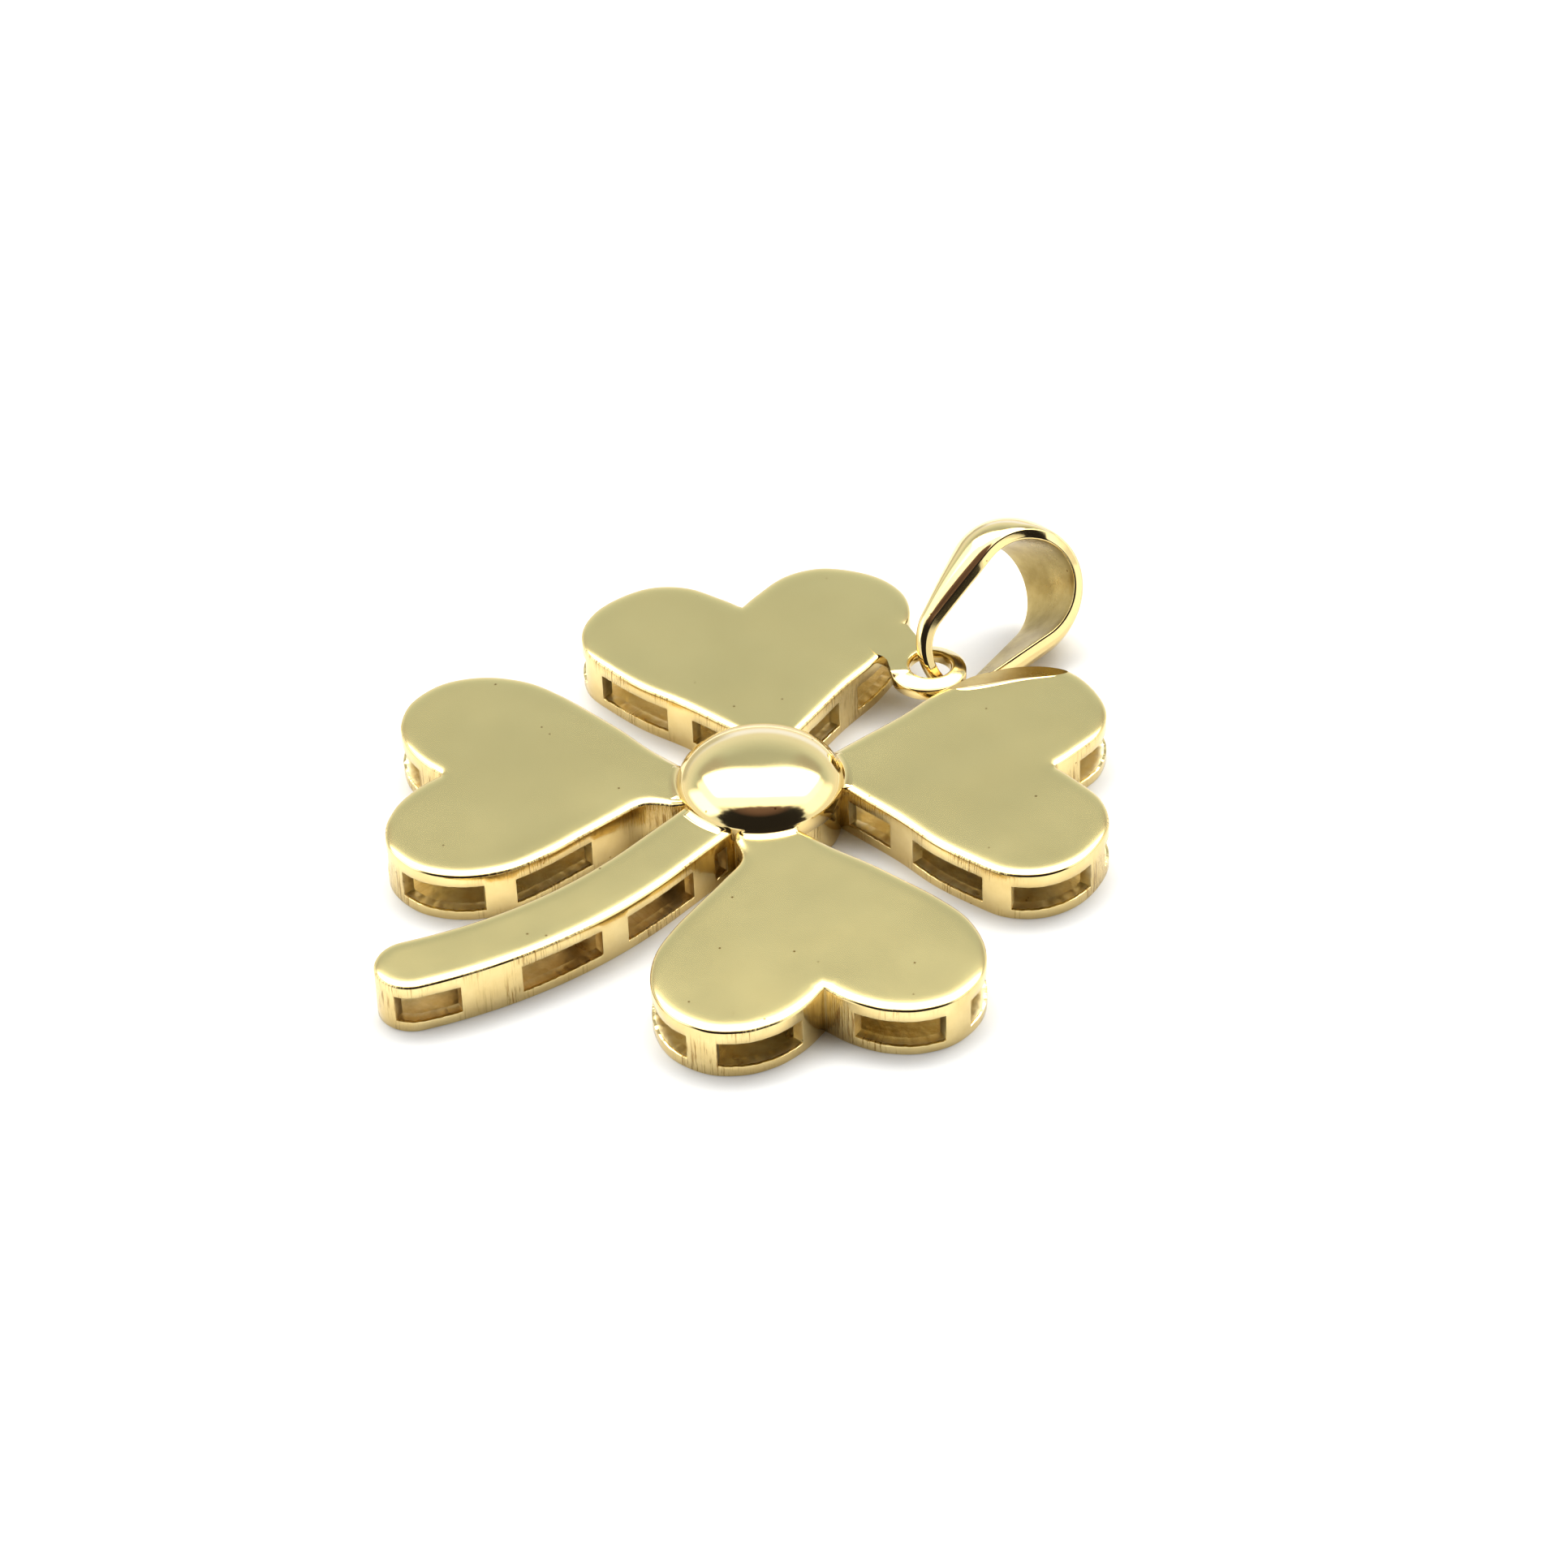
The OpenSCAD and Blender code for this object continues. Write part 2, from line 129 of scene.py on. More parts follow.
# %% Node group: a soft panel in the room
def build_soft_panel():
    """A rectangle seen in one direction; its sizes are tangents of half its angles."""
    group, start, end = group_with(
        "soft_panel",
        [("Direction", "NodeSocketVector", (0, 0, 1)), ("Centre", "NodeSocketVector", (0, 0, 1)),
         ("Across", "NodeSocketVector", (1, 0, 0)), ("Upward", "NodeSocketVector", (0, 1, 0)),
         ("Half Width", "NodeSocketFloat", 0.5), ("Half Height", "NodeSocketFloat", 0.3),
         ("Softness", "NodeSocketFloat", 0.1)],
        [("Mask", "NodeSocketFloat")])
    least_depth, front_depth = 0.02, 0.05
    link = group.links.new
    depth = add_node(group, "ShaderNodeVectorMath", (-800, 300), {"operation": "DOT_PRODUCT"})
    link(start.outputs["Direction"], depth.inputs[0])
    link(start.outputs["Centre"], depth.inputs[1])
    faced = add_node(group, "ShaderNodeMath", (-600, 300), {"operation": "MAXIMUM"})
    faced.inputs[1].default_value = least_depth
    link(depth.outputs["Value"], faced.inputs[0])
    masks = []
    for row, (axis, half) in enumerate((("Across", "Half Width"), ("Upward", "Half Height"))):
        y = -250 * row
        along = add_node(group, "ShaderNodeVectorMath", (-800, y), {"operation": "DOT_PRODUCT"})
        link(start.outputs["Direction"], along.inputs[0])
        link(start.outputs[axis], along.inputs[1])
        size = add_node(group, "ShaderNodeMath", (-600, y), {"operation": "ABSOLUTE"})
        link(along.outputs["Value"], size.inputs[0])
        tangent = add_node(group, "ShaderNodeMath", (-400, y), {"operation": "DIVIDE"})
        link(size.outputs["Value"], tangent.inputs[0])
        link(faced.outputs["Value"], tangent.inputs[1])
        outer = add_node(group, "ShaderNodeMath", (-400, y - 120), {"operation": "ADD"})
        link(start.outputs[half], outer.inputs[0])
        link(start.outputs["Softness"], outer.inputs[1])
        fade = add_node(
            group, "ShaderNodeMapRange", (-200, y), {"interpolation_type": "SMOOTHSTEP"},
            {"To Min": 1.0, "To Max": 0.0})
        link(tangent.outputs["Value"], fade.inputs["Value"])
        link(start.outputs[half], fade.inputs["From Min"])
        link(outer.outputs["Value"], fade.inputs["From Max"])
        masks.append(fade.outputs["Result"])
    front = add_node(group, "ShaderNodeMath", (0, 300), {"operation": "GREATER_THAN"})
    front.inputs[1].default_value = front_depth
    link(depth.outputs["Value"], front.inputs[0])
    both = add_node(group, "ShaderNodeMath", (0, 0), {"operation": "MULTIPLY"})
    link(masks[0], both.inputs[0])
    link(masks[1], both.inputs[1])
    final = add_node(group, "ShaderNodeMath", (200, 0), {"operation": "MULTIPLY"})
    link(both.outputs["Value"], final.inputs[0])
    link(front.outputs["Value"], final.inputs[1])
    link(final.outputs["Value"], end.inputs["Mask"])
    return group


soft_panel = build_soft_panel()
print("group:", soft_panel.name, "nodes:", len(soft_panel.nodes))

# %% The panels, as turn, rise, half width, half height and softness, then brightness and colour
room_panels = [
    ("low_white_wall", 0, 11, 0.75, 0.03, 0.10, 1.0, (1.15, 1.30, 1.9)),
    ("left_shade", -27, 37, 0.10, 0.03, 0.14, 0.55, (0.98, 1.0, 1.02)),
    ("right_shade", 27, 38, 0.10, 0.03, 0.14, 0.52, (0.98, 1.0, 1.02)),
    ("left_low_shade", -28, 3, 0.26, 0.10, 0.16, 0.70, (1.0, 1.02, 1.0)),
    ("left_window", -86, 34, 0.30, 0.20, 0.20, 3.0, (1.0, 1.0, 1.0)),
    ("right_window", 88, 36, 0.34, 0.22, 0.25, 1.9, (1.0, 1.0, 1.0)),
    ("softbox_glow", 2, 72, 0.85, 0.34, 0.19, 2.2, (1.0, 1.0, 0.98)),
    ("softbox", 3, 61, 0.56, 0.20, 0.12, 7.0, (1.0, 1.0, 0.98)),
    ("right_post", 131, 12, 0.13, 0.11, 0.05, 0.05, (1.0, 0.9, 0.8)),
]
print("panels:", len(room_panels))


# %% Tones of the room by height, as height of the direction, colour and brightness
room_tones = [
    (0.0, (0.95, 1.0, 1.0), 1.0), (0.10, (1.0, 1.0, 1.0), 1.15), (0.40, (0.92, 1.0, 1.04), 1.0),
    (0.54, (0.84, 0.96, 0.99), 0.78), (0.60, (0.84, 0.96, 0.99), 0.64),
    (0.69, (0.84, 0.96, 0.99), 0.64), (0.76, (0.95, 1.0, 1.0), 1.05), (1.0, (1.0, 1.0, 1.0), 1.2)]


def tones_by_height(tree, parts):
    """The ramp's colours must stay below 1, so it holds halves and they are added to themselves."""
    height = add_node(tree, "ShaderNodeValToRGB", (-1200, -50))
    ramp = height.color_ramp
    for i, (where, colour, level) in enumerate(room_tones):
        stop = ramp.elements[i] if i < 2 else ramp.elements.new(where)
        stop.position = where
        stop.color = tuple(c * level / 2 for c in colour) + (1,)
    tree.links.new(parts.outputs["Z"], height.inputs["Fac"])
    doubled = add_node(
        tree, "ShaderNodeMix", (-900, -50), {"data_type": "RGBA", "blend_type": "ADD"}, {"Factor": 1.0})
    for half in ("A", "B"):
        tree.links.new(height.outputs["Color"], doubled.inputs[half])
    return doubled.outputs["Result"]


print("tones of the room:", len(room_tones))


# %% Lay the panels over them
def lay_panels(tree, direction, colour):
    for i, (label, turn, rise, half_w, half_h, softness, level, tone) in enumerate(room_panels):
        centre = room_direction(turn, rise)
        across = room_direction(turn + 90, 0)
        panel = add_node(
            tree, "ShaderNodeGroup", (-900, 250 + 200 * i), {"node_tree": soft_panel, "label": label},
            {"Centre": centre, "Across": across, "Upward": across.cross(centre),
             "Half Width": half_w, "Half Height": half_h, "Softness": softness})
        tree.links.new(direction.outputs["Generated"], panel.inputs["Direction"])
        laid = add_node(tree, "ShaderNodeMix", (-700 + 150 * i, 100), {"data_type": "RGBA"})
        laid.inputs["B"].default_value = tuple(c * level for c in tone) + (1,)
        tree.links.new(panel.outputs["Mask"], laid.inputs["Factor"])
        tree.links.new(colour, laid.inputs["A"])
        colour = laid.outputs["Result"]
    return colour


print("panel layer ready")

# %% The dark side where the observer stands
dark_centre = room_direction(180, 35)
dark_edge = (0.70, 0.76)
dark_raggedness = 0.22


def lay_dark_side(tree, direction, parts, colour):
    """A round patch with a ragged edge, nearly black, and a dark red above, nearer the zenith."""
    link = tree.links.new
    toward = add_node(tree, "ShaderNodeVectorMath", (-900, -400), {"operation": "DOT_PRODUCT"})
    toward.inputs[1].default_value = dark_centre
    link(direction.outputs["Generated"], toward.inputs[0])
    ragged = add_node(
        tree, "ShaderNodeTexNoise", (-900, -650), None, {"Scale": 6.0, "Detail": 4.0, "Roughness": 0.6})
    link(direction.outputs["Generated"], ragged.inputs["Vector"])
    edge = add_node(tree, "ShaderNodeMath", (-650, -400), {"operation": "MULTIPLY_ADD"})
    edge.inputs[1].default_value = dark_raggedness
    link(ragged.outputs["Fac"], edge.inputs[0])
    link(toward.outputs["Value"], edge.inputs[2])
    inside = add_node(
        tree, "ShaderNodeMapRange", (-450, -400), {"interpolation_type": "SMOOTHSTEP"},
        {"From Min": dark_edge[0], "From Max": dark_edge[1], "To Min": 0.0, "To Max": 1.0})
    link(edge.outputs["Value"], inside.inputs["Value"])
    dark_tone = add_node(tree, "ShaderNodeValToRGB", (-450, -700))
    stops = dark_tone.color_ramp.elements
    stops[0].position, stops[0].color = 0.86, (0.022, 0.02, 0.022, 1)
    stops[1].position, stops[1].color = 0.97, (0.20, 0.12, 0.11, 1)
    link(parts.outputs["Z"], dark_tone.inputs["Fac"])
    darkened = add_node(tree, "ShaderNodeMix", (500, -200), {"data_type": "RGBA"})
    link(inside.outputs["Result"], darkened.inputs["Factor"])
    link(colour, darkened.inputs["A"])
    link(dark_tone.outputs["Color"], darkened.inputs["B"])
    return darkened.outputs["Result"]


print("dark side towards:", tuple(round(c, 2) for c in dark_centre))


# %% Build the room
def build_room():
    """What the camera sees directly is plain white; all else sees the room."""
    world = bpy.data.worlds.new("pale_room")
    bpy.context.scene.world = world
    world.use_nodes = True
    tree = world.node_tree
    tree.nodes.clear()
    link = tree.links.new
    direction = add_node(tree, "ShaderNodeTexCoord", (-1600, 0))
    parts = add_node(tree, "ShaderNodeSeparateXYZ", (-1400, -50))
    link(direction.outputs["Generated"], parts.inputs[0])
    colour = lay_panels(tree, direction, tones_by_height(tree, parts))
    colour = lay_dark_side(tree, direction, parts, colour)
    glow = add_node(tree, "ShaderNodeBackground", (700, 0), None, {"Strength": 1.0})
    link(colour, glow.inputs["Color"])
    plain = add_node(
        tree, "ShaderNodeBackground", (700, -200), None, {"Color": (1, 1, 1, 1), "Strength": 1.0})
    path = add_node(tree, "ShaderNodeLightPath", (700, 400))
    choose = add_node(tree, "ShaderNodeMixShader", (950, 0))
    link(path.outputs["Is Camera Ray"], choose.inputs["Fac"])
    link(glow.outputs["Background"], choose.inputs[1])
    link(plain.outputs["Background"], choose.inputs[2])
    out = add_node(tree, "ShaderNodeOutputWorld", (1150, 0))
    link(choose.outputs["Shader"], out.inputs["Surface"])
    return world


room_world = build_room()
print("world:", room_world.name, "nodes:", len(room_world.node_tree.nodes))

# %% [markdown]
# ## The table
# A sheet of white card. It is far wider than the view, so that no edge shows from any side, and it
# has only a faint paper tooth. Like every piece after it, it is drawn as a bmesh, which a small
# helper then turns into an object. Blender's own menu shapes would be quicker for the card alone,
# but none of them has the form of a leaf, an ear or a bail.


# %% A helper that makes an object from a shape
def make_piece(name, shape, finishes=(), sharp_angle=None):
    """Puts a finished bmesh into the scene as an object with its materials."""
    mesh = bpy.data.meshes.new(name)
    shape.to_mesh(mesh)
    shape.free()
    for finish in finishes:
        mesh.materials.append(finish)
    piece = bpy.data.objects.new(name, mesh)
    bpy.context.scene.collection.objects.link(piece)
    if sharp_angle:
        mesh.set_sharp_from_angle(angle=math.radians(sharp_angle))
    return piece


print("object helper ready")

# %% Lay the table
card_half_w = 2.5


def build_table():
    paper = bpy.data.materials.new("white_paper")
    paper.use_nodes = True
    tree = paper.node_tree
    shader = tree.nodes["Principled BSDF"]
    shader.inputs["Base Color"].default_value = (0.86, 0.86, 0.855, 1)
    shader.inputs["Roughness"].default_value = 0.75
    shader.inputs["Specular IOR Level"].default_value = 0.2
    place = add_node(tree, "ShaderNodeTexCoord", (-700, 0))
    tooth = add_node(tree, "ShaderNodeTexNoise", (-500, 0), None, {"Scale": 900.0, "Detail": 3.0})
    bump = add_node(tree, "ShaderNodeBump", (-250, -200), None, {"Strength": 0.06, "Distance": 0.0002})
    tree.links.new(place.outputs["Object"], tooth.inputs["Vector"])
    tree.links.new(tooth.outputs["Fac"], bump.inputs["Height"])
    tree.links.new(bump.outputs["Normal"], shader.inputs["Normal"])
    shape = bmesh.new()
    bmesh.ops.create_grid(shape, x_segments=8, y_segments=8, size=card_half_w)
    card = make_piece("white_card", shape, (paper,))
    return card


table_card = build_table()
print("table:", table_card.name)

# %% [markdown]
# ## Gold finishes
# One alloy, several finishes. The flat tops are satin from fine emery, the rims, dome and bail are
# polished on a wheel, the walls also keep some file marks, and the insides have the dull skin left by
# casting and sawing. The bail's inner face is satin, and its darker colour is painted shade inside
# the loop. The corner beside the bail has the coarser satin of the file, and its brown colour is a
# painted reflection of the bail above it. The stem's inside is darker than the leaves' as painted
# shade, because little light gets into so narrow a box. Each could be a material of its own, but what
# they share is made once as node groups: a slow drift of the gold's tone, the fine scratches of
# polishing, the soft unevenness of hand-worked sheet, and file marks with the dirt that stays in them,
# and pits darkened as painted shade.


# %% Node group: drift of tone
def build_tone_drift():
    group, start, end = group_with(
        "gold_tone_drift",
        [("Light Tone", "NodeSocketColor", (0.86, 0.66, 0.30, 1)),
         ("Deep Tone", "NodeSocketColor", (0.8, 0.58, 0.24, 1)),
         ("Patches per Metre", "NodeSocketFloat", 300.0)],
        [("Color", "NodeSocketColor")])
    place = add_node(group, "ShaderNodeTexCoord", (-800, 200))
    cloud = add_node(group, "ShaderNodeTexNoise", (-550, 150), None, {"Detail": 5.0, "Roughness": 0.62})
    stretch = add_node(group, "ShaderNodeMapRange", (-300, 150), None, {"From Min": 0.35, "From Max": 0.65})
    blend = add_node(group, "ShaderNodeMix", (0, 0), {"data_type": "RGBA"})
    link = group.links.new
    link(place.outputs["Object"], cloud.inputs["Vector"])
    link(start.outputs["Patches per Metre"], cloud.inputs["Scale"])
    link(cloud.outputs["Fac"], stretch.inputs["Value"])
    link(stretch.outputs["Result"], blend.inputs["Factor"])
    link(start.outputs["Deep Tone"], blend.inputs["A"])
    link(start.outputs["Light Tone"], blend.inputs["B"])
    link(blend.outputs["Result"], end.inputs["Color"])
    return group


tone_drift = build_tone_drift()
print("group:", tone_drift.name)


# %% Node group: satin mottle and soft unevenness
def build_hand_surface():
    group, start, end = group_with(
        "hand_worked_surface",
        [("Grain per Metre", "NodeSocketFloat", 9000.0), ("Ripple per Metre", "NodeSocketFloat", 500.0),
         ("Smoothest", "NodeSocketFloat", 0.1), ("Roughest", "NodeSocketFloat", 0.2)],
        [("Roughness", "NodeSocketFloat"), ("Grain", "NodeSocketFloat"), ("Ripple", "NodeSocketFloat")])
    place = add_node(group, "ShaderNodeTexCoord", (-800, 200))
    grain = add_node(group, "ShaderNodeTexNoise", (-550, 300), None, {"Detail": 4.0, "Roughness": 0.6})
    ripple = add_node(group, "ShaderNodeTexNoise", (-550, 0), None, {"Detail": 2.0, "Roughness": 0.5})
    mixed = add_node(group, "ShaderNodeMath", (-300, 250), {"operation": "MULTIPLY_ADD"})
    mixed.inputs[1].default_value = 0.4
    ranged = add_node(group, "ShaderNodeMapRange", (0, 250), None, {"From Min": 0.45, "From Max": 0.95})
    link = group.links.new
    for node, rate in ((grain, "Grain per Metre"), (ripple, "Ripple per Metre")):
        link(place.outputs["Object"], node.inputs["Vector"])
        link(start.outputs[rate], node.inputs["Scale"])
    link(grain.outputs["Fac"], mixed.inputs[0])
    link(ripple.outputs["Fac"], mixed.inputs[2])
    link(mixed.outputs["Value"], ranged.inputs["Value"])
    link(start.outputs["Smoothest"], ranged.inputs["To Min"])
    link(start.outputs["Roughest"], ranged.inputs["To Max"])
    link(ranged.outputs["Result"], end.inputs["Roughness"])
    link(grain.outputs["Fac"], end.inputs["Grain"])
    link(ripple.outputs["Fac"], end.inputs["Ripple"])
    return group


hand_surface = build_hand_surface()
print("group:", hand_surface.name)


# %% Node group: file marks that run up the walls with the dirt in them, and casting pits darkened as painted shade
def build_file_marks():
    group, start, end = group_with(
        "file_marks",
        [("Marks per Metre", "NodeSocketFloat", 14000.0), ("Amount", "NodeSocketFloat", 0.5)],
        [("Marks", "NodeSocketFloat"), ("Dirt and Pit Shade", "NodeSocketFloat")])
    smooth = {"interpolation_type": "SMOOTHSTEP"}
    multiply = {"operation": "MULTIPLY"}
    run = add_node(group, "ShaderNodeAttribute", (-1000, 300), {"attribute_name": "wall_run"})
    squeeze = add_node(group, "ShaderNodeVectorMath", (-800, 300), multiply)
    squeeze.inputs[1].default_value = (1.0, 0.06, 1.0)
    lines = add_node(group, "ShaderNodeTexNoise", (-550, 300), None, {"Detail": 3.0, "Roughness": 0.7})
    where = add_node(group, "ShaderNodeTexNoise", (-550, 0), None, {"Scale": 420.0, "Detail": 1.0})
    patch = add_node(group, "ShaderNodeMapRange", (-300, 0), smooth, {"From Min": 0.44, "From Max": 0.60})
    marks = add_node(group, "ShaderNodeMath", (0, 200), multiply)
    scaled = add_node(group, "ShaderNodeMath", (200, 200), multiply)
    place = add_node(group, "ShaderNodeTexCoord", (-1000, -300))
    # Pits are small round spots with no relief; darkening them is painted shade for tiny hollows.
    cells = add_node(group, "ShaderNodeTexVoronoi", (-550, -300), None, {"Scale": 2600.0})
    deep = add_node(
        group, "ShaderNodeMapRange", (-300, -300), smooth,
        {"From Min": 0.05, "From Max": 0.12, "To Min": 1.0, "To Max": 0.0})
    seldom = add_node(group, "ShaderNodeMath", (-300, -550), {"operation": "GREATER_THAN"})
    seldom.inputs[1].default_value = 0.86
    pick = add_node(group, "ShaderNodeSeparateColor", (-450, -550))
    pit_shade = add_node(group, "ShaderNodeMath", (0, -300), multiply)
    grime = add_node(group, "ShaderNodeMapRange", (0, 450), smooth, {"From Min": 0.51, "From Max": 0.63})
    lined = add_node(group, "ShaderNodeMath", (200, 450), multiply)
    dark = add_node(group, "ShaderNodeMath", (200, -300), {"operation": "MULTIPLY_ADD", "use_clamp": True})
    link = group.links.new
    link(run.outputs["Vector"], squeeze.inputs[0])
    link(squeeze.outputs["Vector"], lines.inputs["Vector"])
    link(start.outputs["Marks per Metre"], lines.inputs["Scale"])
    link(run.outputs["Vector"], where.inputs["Vector"])
    link(where.outputs["Fac"], patch.inputs["Value"])
    link(lines.outputs["Fac"], marks.inputs[0])
    link(patch.outputs["Result"], marks.inputs[1])
    link(marks.outputs["Value"], scaled.inputs[0])
    link(start.outputs["Amount"], scaled.inputs[1])
    link(scaled.outputs["Value"], end.inputs["Marks"])
    link(place.outputs["Object"], cells.inputs["Vector"])
    link(cells.outputs["Distance"], deep.inputs["Value"])
    link(cells.outputs["Color"], pick.inputs["Color"])
    link(pick.outputs["Red"], seldom.inputs[0])
    link(deep.outputs["Result"], pit_shade.inputs[0])
    link(seldom.outputs["Value"], pit_shade.inputs[1])
    link(lines.outputs["Fac"], grime.inputs["Value"])
    link(grime.outputs["Result"], lined.inputs[0])
    link(patch.outputs["Result"], lined.inputs[1])
    link(lined.outputs["Value"], dark.inputs[0])
    link(start.outputs["Amount"], dark.inputs[1])
    link(pit_shade.outputs["Value"], dark.inputs[2])
    link(dark.outputs["Value"], end.inputs["Dirt and Pit Shade"])
    return group


file_marks = build_file_marks()
print("group:", file_marks.name)

# %% One recipe for all the finishes
# The dirt in the file marks and the painted shade of the pits both darken the colour towards this tone.
dirt_and_pit_shade_tone = (0.45, 0.32, 0.18, 1)
grime_per_mark, most_grime = 30.0, 0.9
roughness_of_marks = 0.25


def add_bump(tree, place, height, depth, under=None):
    """A relief of this depth in millimetres, laid over another one."""
    bump = add_node(tree, "ShaderNodeBump", place, None, {"Strength": 1.0, "Distance": depth * MM})
    tree.links.new(height, bump.inputs["Height"])
    if under:
        tree.links.new(under.outputs["Normal"], bump.inputs["Normal"])
    return bump


def gold_finish(name, light_tone, deep_tone, roughness_range, depths, patches=300.0, ripple=500.0):
    """depths are those of grain, ripple and file marks, in millimetres."""
    grain_depth, ripple_depth, mark_depth = depths
    material = bpy.data.materials.new(name)
    material.use_nodes = True
    tree = material.node_tree
    link = tree.links.new
    shader = tree.nodes["Principled BSDF"]
    shader.inputs["Metallic"].default_value = 1.0
    tone = add_node(
        tree, "ShaderNodeGroup", (-700, 300), {"node_tree": tone_drift},
        {"Light Tone": light_tone + (1,), "Deep Tone": deep_tone + (1,), "Patches per Metre": patches})
    hand = add_node(
        tree, "ShaderNodeGroup", (-900, 0), {"node_tree": hand_surface},
        {"Smoothest": roughness_range[0], "Roughest": roughness_range[1], "Ripple per Metre": ripple})
    filed = add_node(
        tree, "ShaderNodeGroup", (-900, -300), {"node_tree": file_marks},
        {"Amount": min(most_grime, grime_per_mark * mark_depth)})
    # The base colour is darkened by the dirt in the file marks and by the pits' painted shade.
    darker = add_node(tree, "ShaderNodeMix", (-400, 300), {"data_type": "RGBA", "blend_type": "MULTIPLY"})
    darker.inputs["B"].default_value = dirt_and_pit_shade_tone
    link(tone.outputs["Color"], darker.inputs["A"])
    link(filed.outputs["Dirt and Pit Shade"], darker.inputs["Factor"])
    link(darker.outputs["Result"], shader.inputs["Base Color"])
    waves = add_bump(tree, (-500, -150), hand.outputs["Ripple"], ripple_depth)
    relief = add_bump(tree, (-300, -150), hand.outputs["Grain"], grain_depth, under=waves)
    roughness = hand.outputs["Roughness"]
    if mark_depth:
        rougher = add_node(
            tree, "ShaderNodeMath", (-400, 50), {"operation": "MULTIPLY_ADD", "use_clamp": True})
        rougher.inputs[1].default_value = roughness_of_marks
        link(filed.outputs["Marks"], rougher.inputs[0])
        link(roughness, rougher.inputs[2])
        roughness = rougher.outputs["Value"]
        relief = add_bump(tree, (-100, -150), filed.outputs["Marks"], mark_depth, under=relief)
    link(roughness, shader.inputs["Roughness"])
    link(relief.outputs["Normal"], shader.inputs["Normal"])
    return material


print("recipe ready, dirt in the marks at most:", most_grime)

# %% The finishes of the outside
satin_gold = gold_finish(
    "satin_gold", (0.83, 0.66, 0.30), (0.80, 0.63, 0.28), (0.12, 0.145), (0.0001, 0.0012, 0.0))
polished_gold = gold_finish(
    "polished_gold", (0.85, 0.67, 0.31), (0.82, 0.63, 0.28), (0.06, 0.12), (0.0002, 0.003, 0.001))
wall_gold = gold_finish(
    "filed_wall_gold", (0.86, 0.69, 0.33), (0.74, 0.56, 0.24), (0.07, 0.16), (0.0006, 0.006, 0.03),
    patches=600.0)
# The filed corner: its coarser satin is the file's, and its darker brown colour is a painted reflection of
# the bail above it.
filed_corner_gold_with_painted_reflection = gold_finish(
    "filed_corner_gold_with_painted_reflection", (0.66, 0.47, 0.12), (0.52, 0.35, 0.07), (0.20, 0.30), (0.001, 0.004, 0.0),
    patches=900.0)
print("outside:", [finish.name for finish in (satin_gold, polished_gold, wall_gold, filed_corner_gold_with_painted_reflection)])

# %% The finishes of the inside
cast_skin = {
    "roughness_range": (0.25, 0.50), "depths": (0.006, 0.03, 0.006), "patches": 1500.0, "ripple": 1800.0}
inside_gold = gold_finish("inside_gold", (0.96, 0.85, 0.54), (0.84, 0.67, 0.34), **cast_skin)
# The stem's inside is a darker copy of the leaves' inside: painted shade for the little light in so narrow a
# box.
stem_inside_shaded_gold = gold_finish("stem_inside_shaded_gold", (0.74, 0.58, 0.29), (0.56, 0.41, 0.17), **cast_skin)
# The bail's inner face is satin; its darker colour is painted shade inside the loop.
bail_inside_shaded_gold = gold_finish(
    "bail_inside_shaded_gold", (0.44, 0.33, 0.12), (0.28, 0.20, 0.06), (0.24, 0.38), (0.003, 0.012, 0.0),
    patches=900.0)
print("inside:", [finish.name for finish in (inside_gold, stem_inside_shaded_gold, bail_inside_shaded_gold)])

# %% [markdown]
# ## Outlines
# A leaf is a heart. Each half is a short table of places from the notch to the hidden tip, which a
# smooth curve joins. Drawing the curve in code, not by hand, lets the wall, the windows and the rim
# all follow the same line.

# %% Sizes of the body, in millimetres
body_h, plate_t, wall_t, back_t = 1.5, 0.36, 0.35, 0.24
rail_h, window_roof_t, window_l, post_w = 0.3, 0.4, 2.45, 0.85
notch_post_w, tip_post_w = 0.95, 1.1
upper_leaf = {"l": 7.77, "w": 9.25, "tip": (0.77, 1.49), "angle": 50.4}
lower_leaf = {"l": 7.86, "w": 8.72, "tip": (1.84, -1.03), "angle": 129.9}
print("leaves, length and width in mm:", [(leaf["l"], leaf["w"]) for leaf in (upper_leaf, lower_leaf)])

# %% Tables of the halves, as shares of a leaf's length and of half its width
upper_half = [
    (0.819, 0), (0.884, 0.110), (0.972, 0.295), (1.000, 0.510), (0.963, 0.715), (0.887, 0.889),
    (0.776, 0.990), (0.647, 0.985), (0.532, 0.872), (0.402, 0.703), (0.277, 0.484), (0.139, 0.275),
    (0.000, 0.065)]
lower_half = [
    (0.834, 0), (0.893, 0.095), (0.944, 0.210), (0.982, 0.345), (1.000, 0.530), (0.970, 0.746),
    (0.868, 0.932), (0.722, 0.997), (0.571, 0.941), (0.447, 0.800), (0.327, 0.611), (0.224, 0.440),
    (0.120, 0.245), (0.000, 0.060)]
lower_stem_half = lower_half[:11] + [(0.224, 0.442), (0.130, 0.308), (0.030, 0.322)]
print("rows in the leaf tables:", len(upper_half), len(lower_half), len(lower_stem_half))


# %% Smooth curves and places along them
def between(p, q, r, s, t):
    """A value between q and r at share t, with p before them and s after, on a smooth curve."""
    return 0.5 * (
        2 * q + (r - p) * t + (2 * p - 5 * q + 4 * r - s) * t * t + (3 * q - p - 3 * r + s) * t ** 3)


def smooth_curve(points, steps=10):
    """Curve through all points, with the same rule as the solids but finer."""
    last = len(points) - 1
    curve = []
    for i in range(last):
        near = [points[max(0, min(last, k))] for k in range(i - 1, i + 3)]
        for j in range(steps):
            curve.append(tuple(between(*values, j / steps) for values in zip(*near)))
    return curve + [points[-1]]


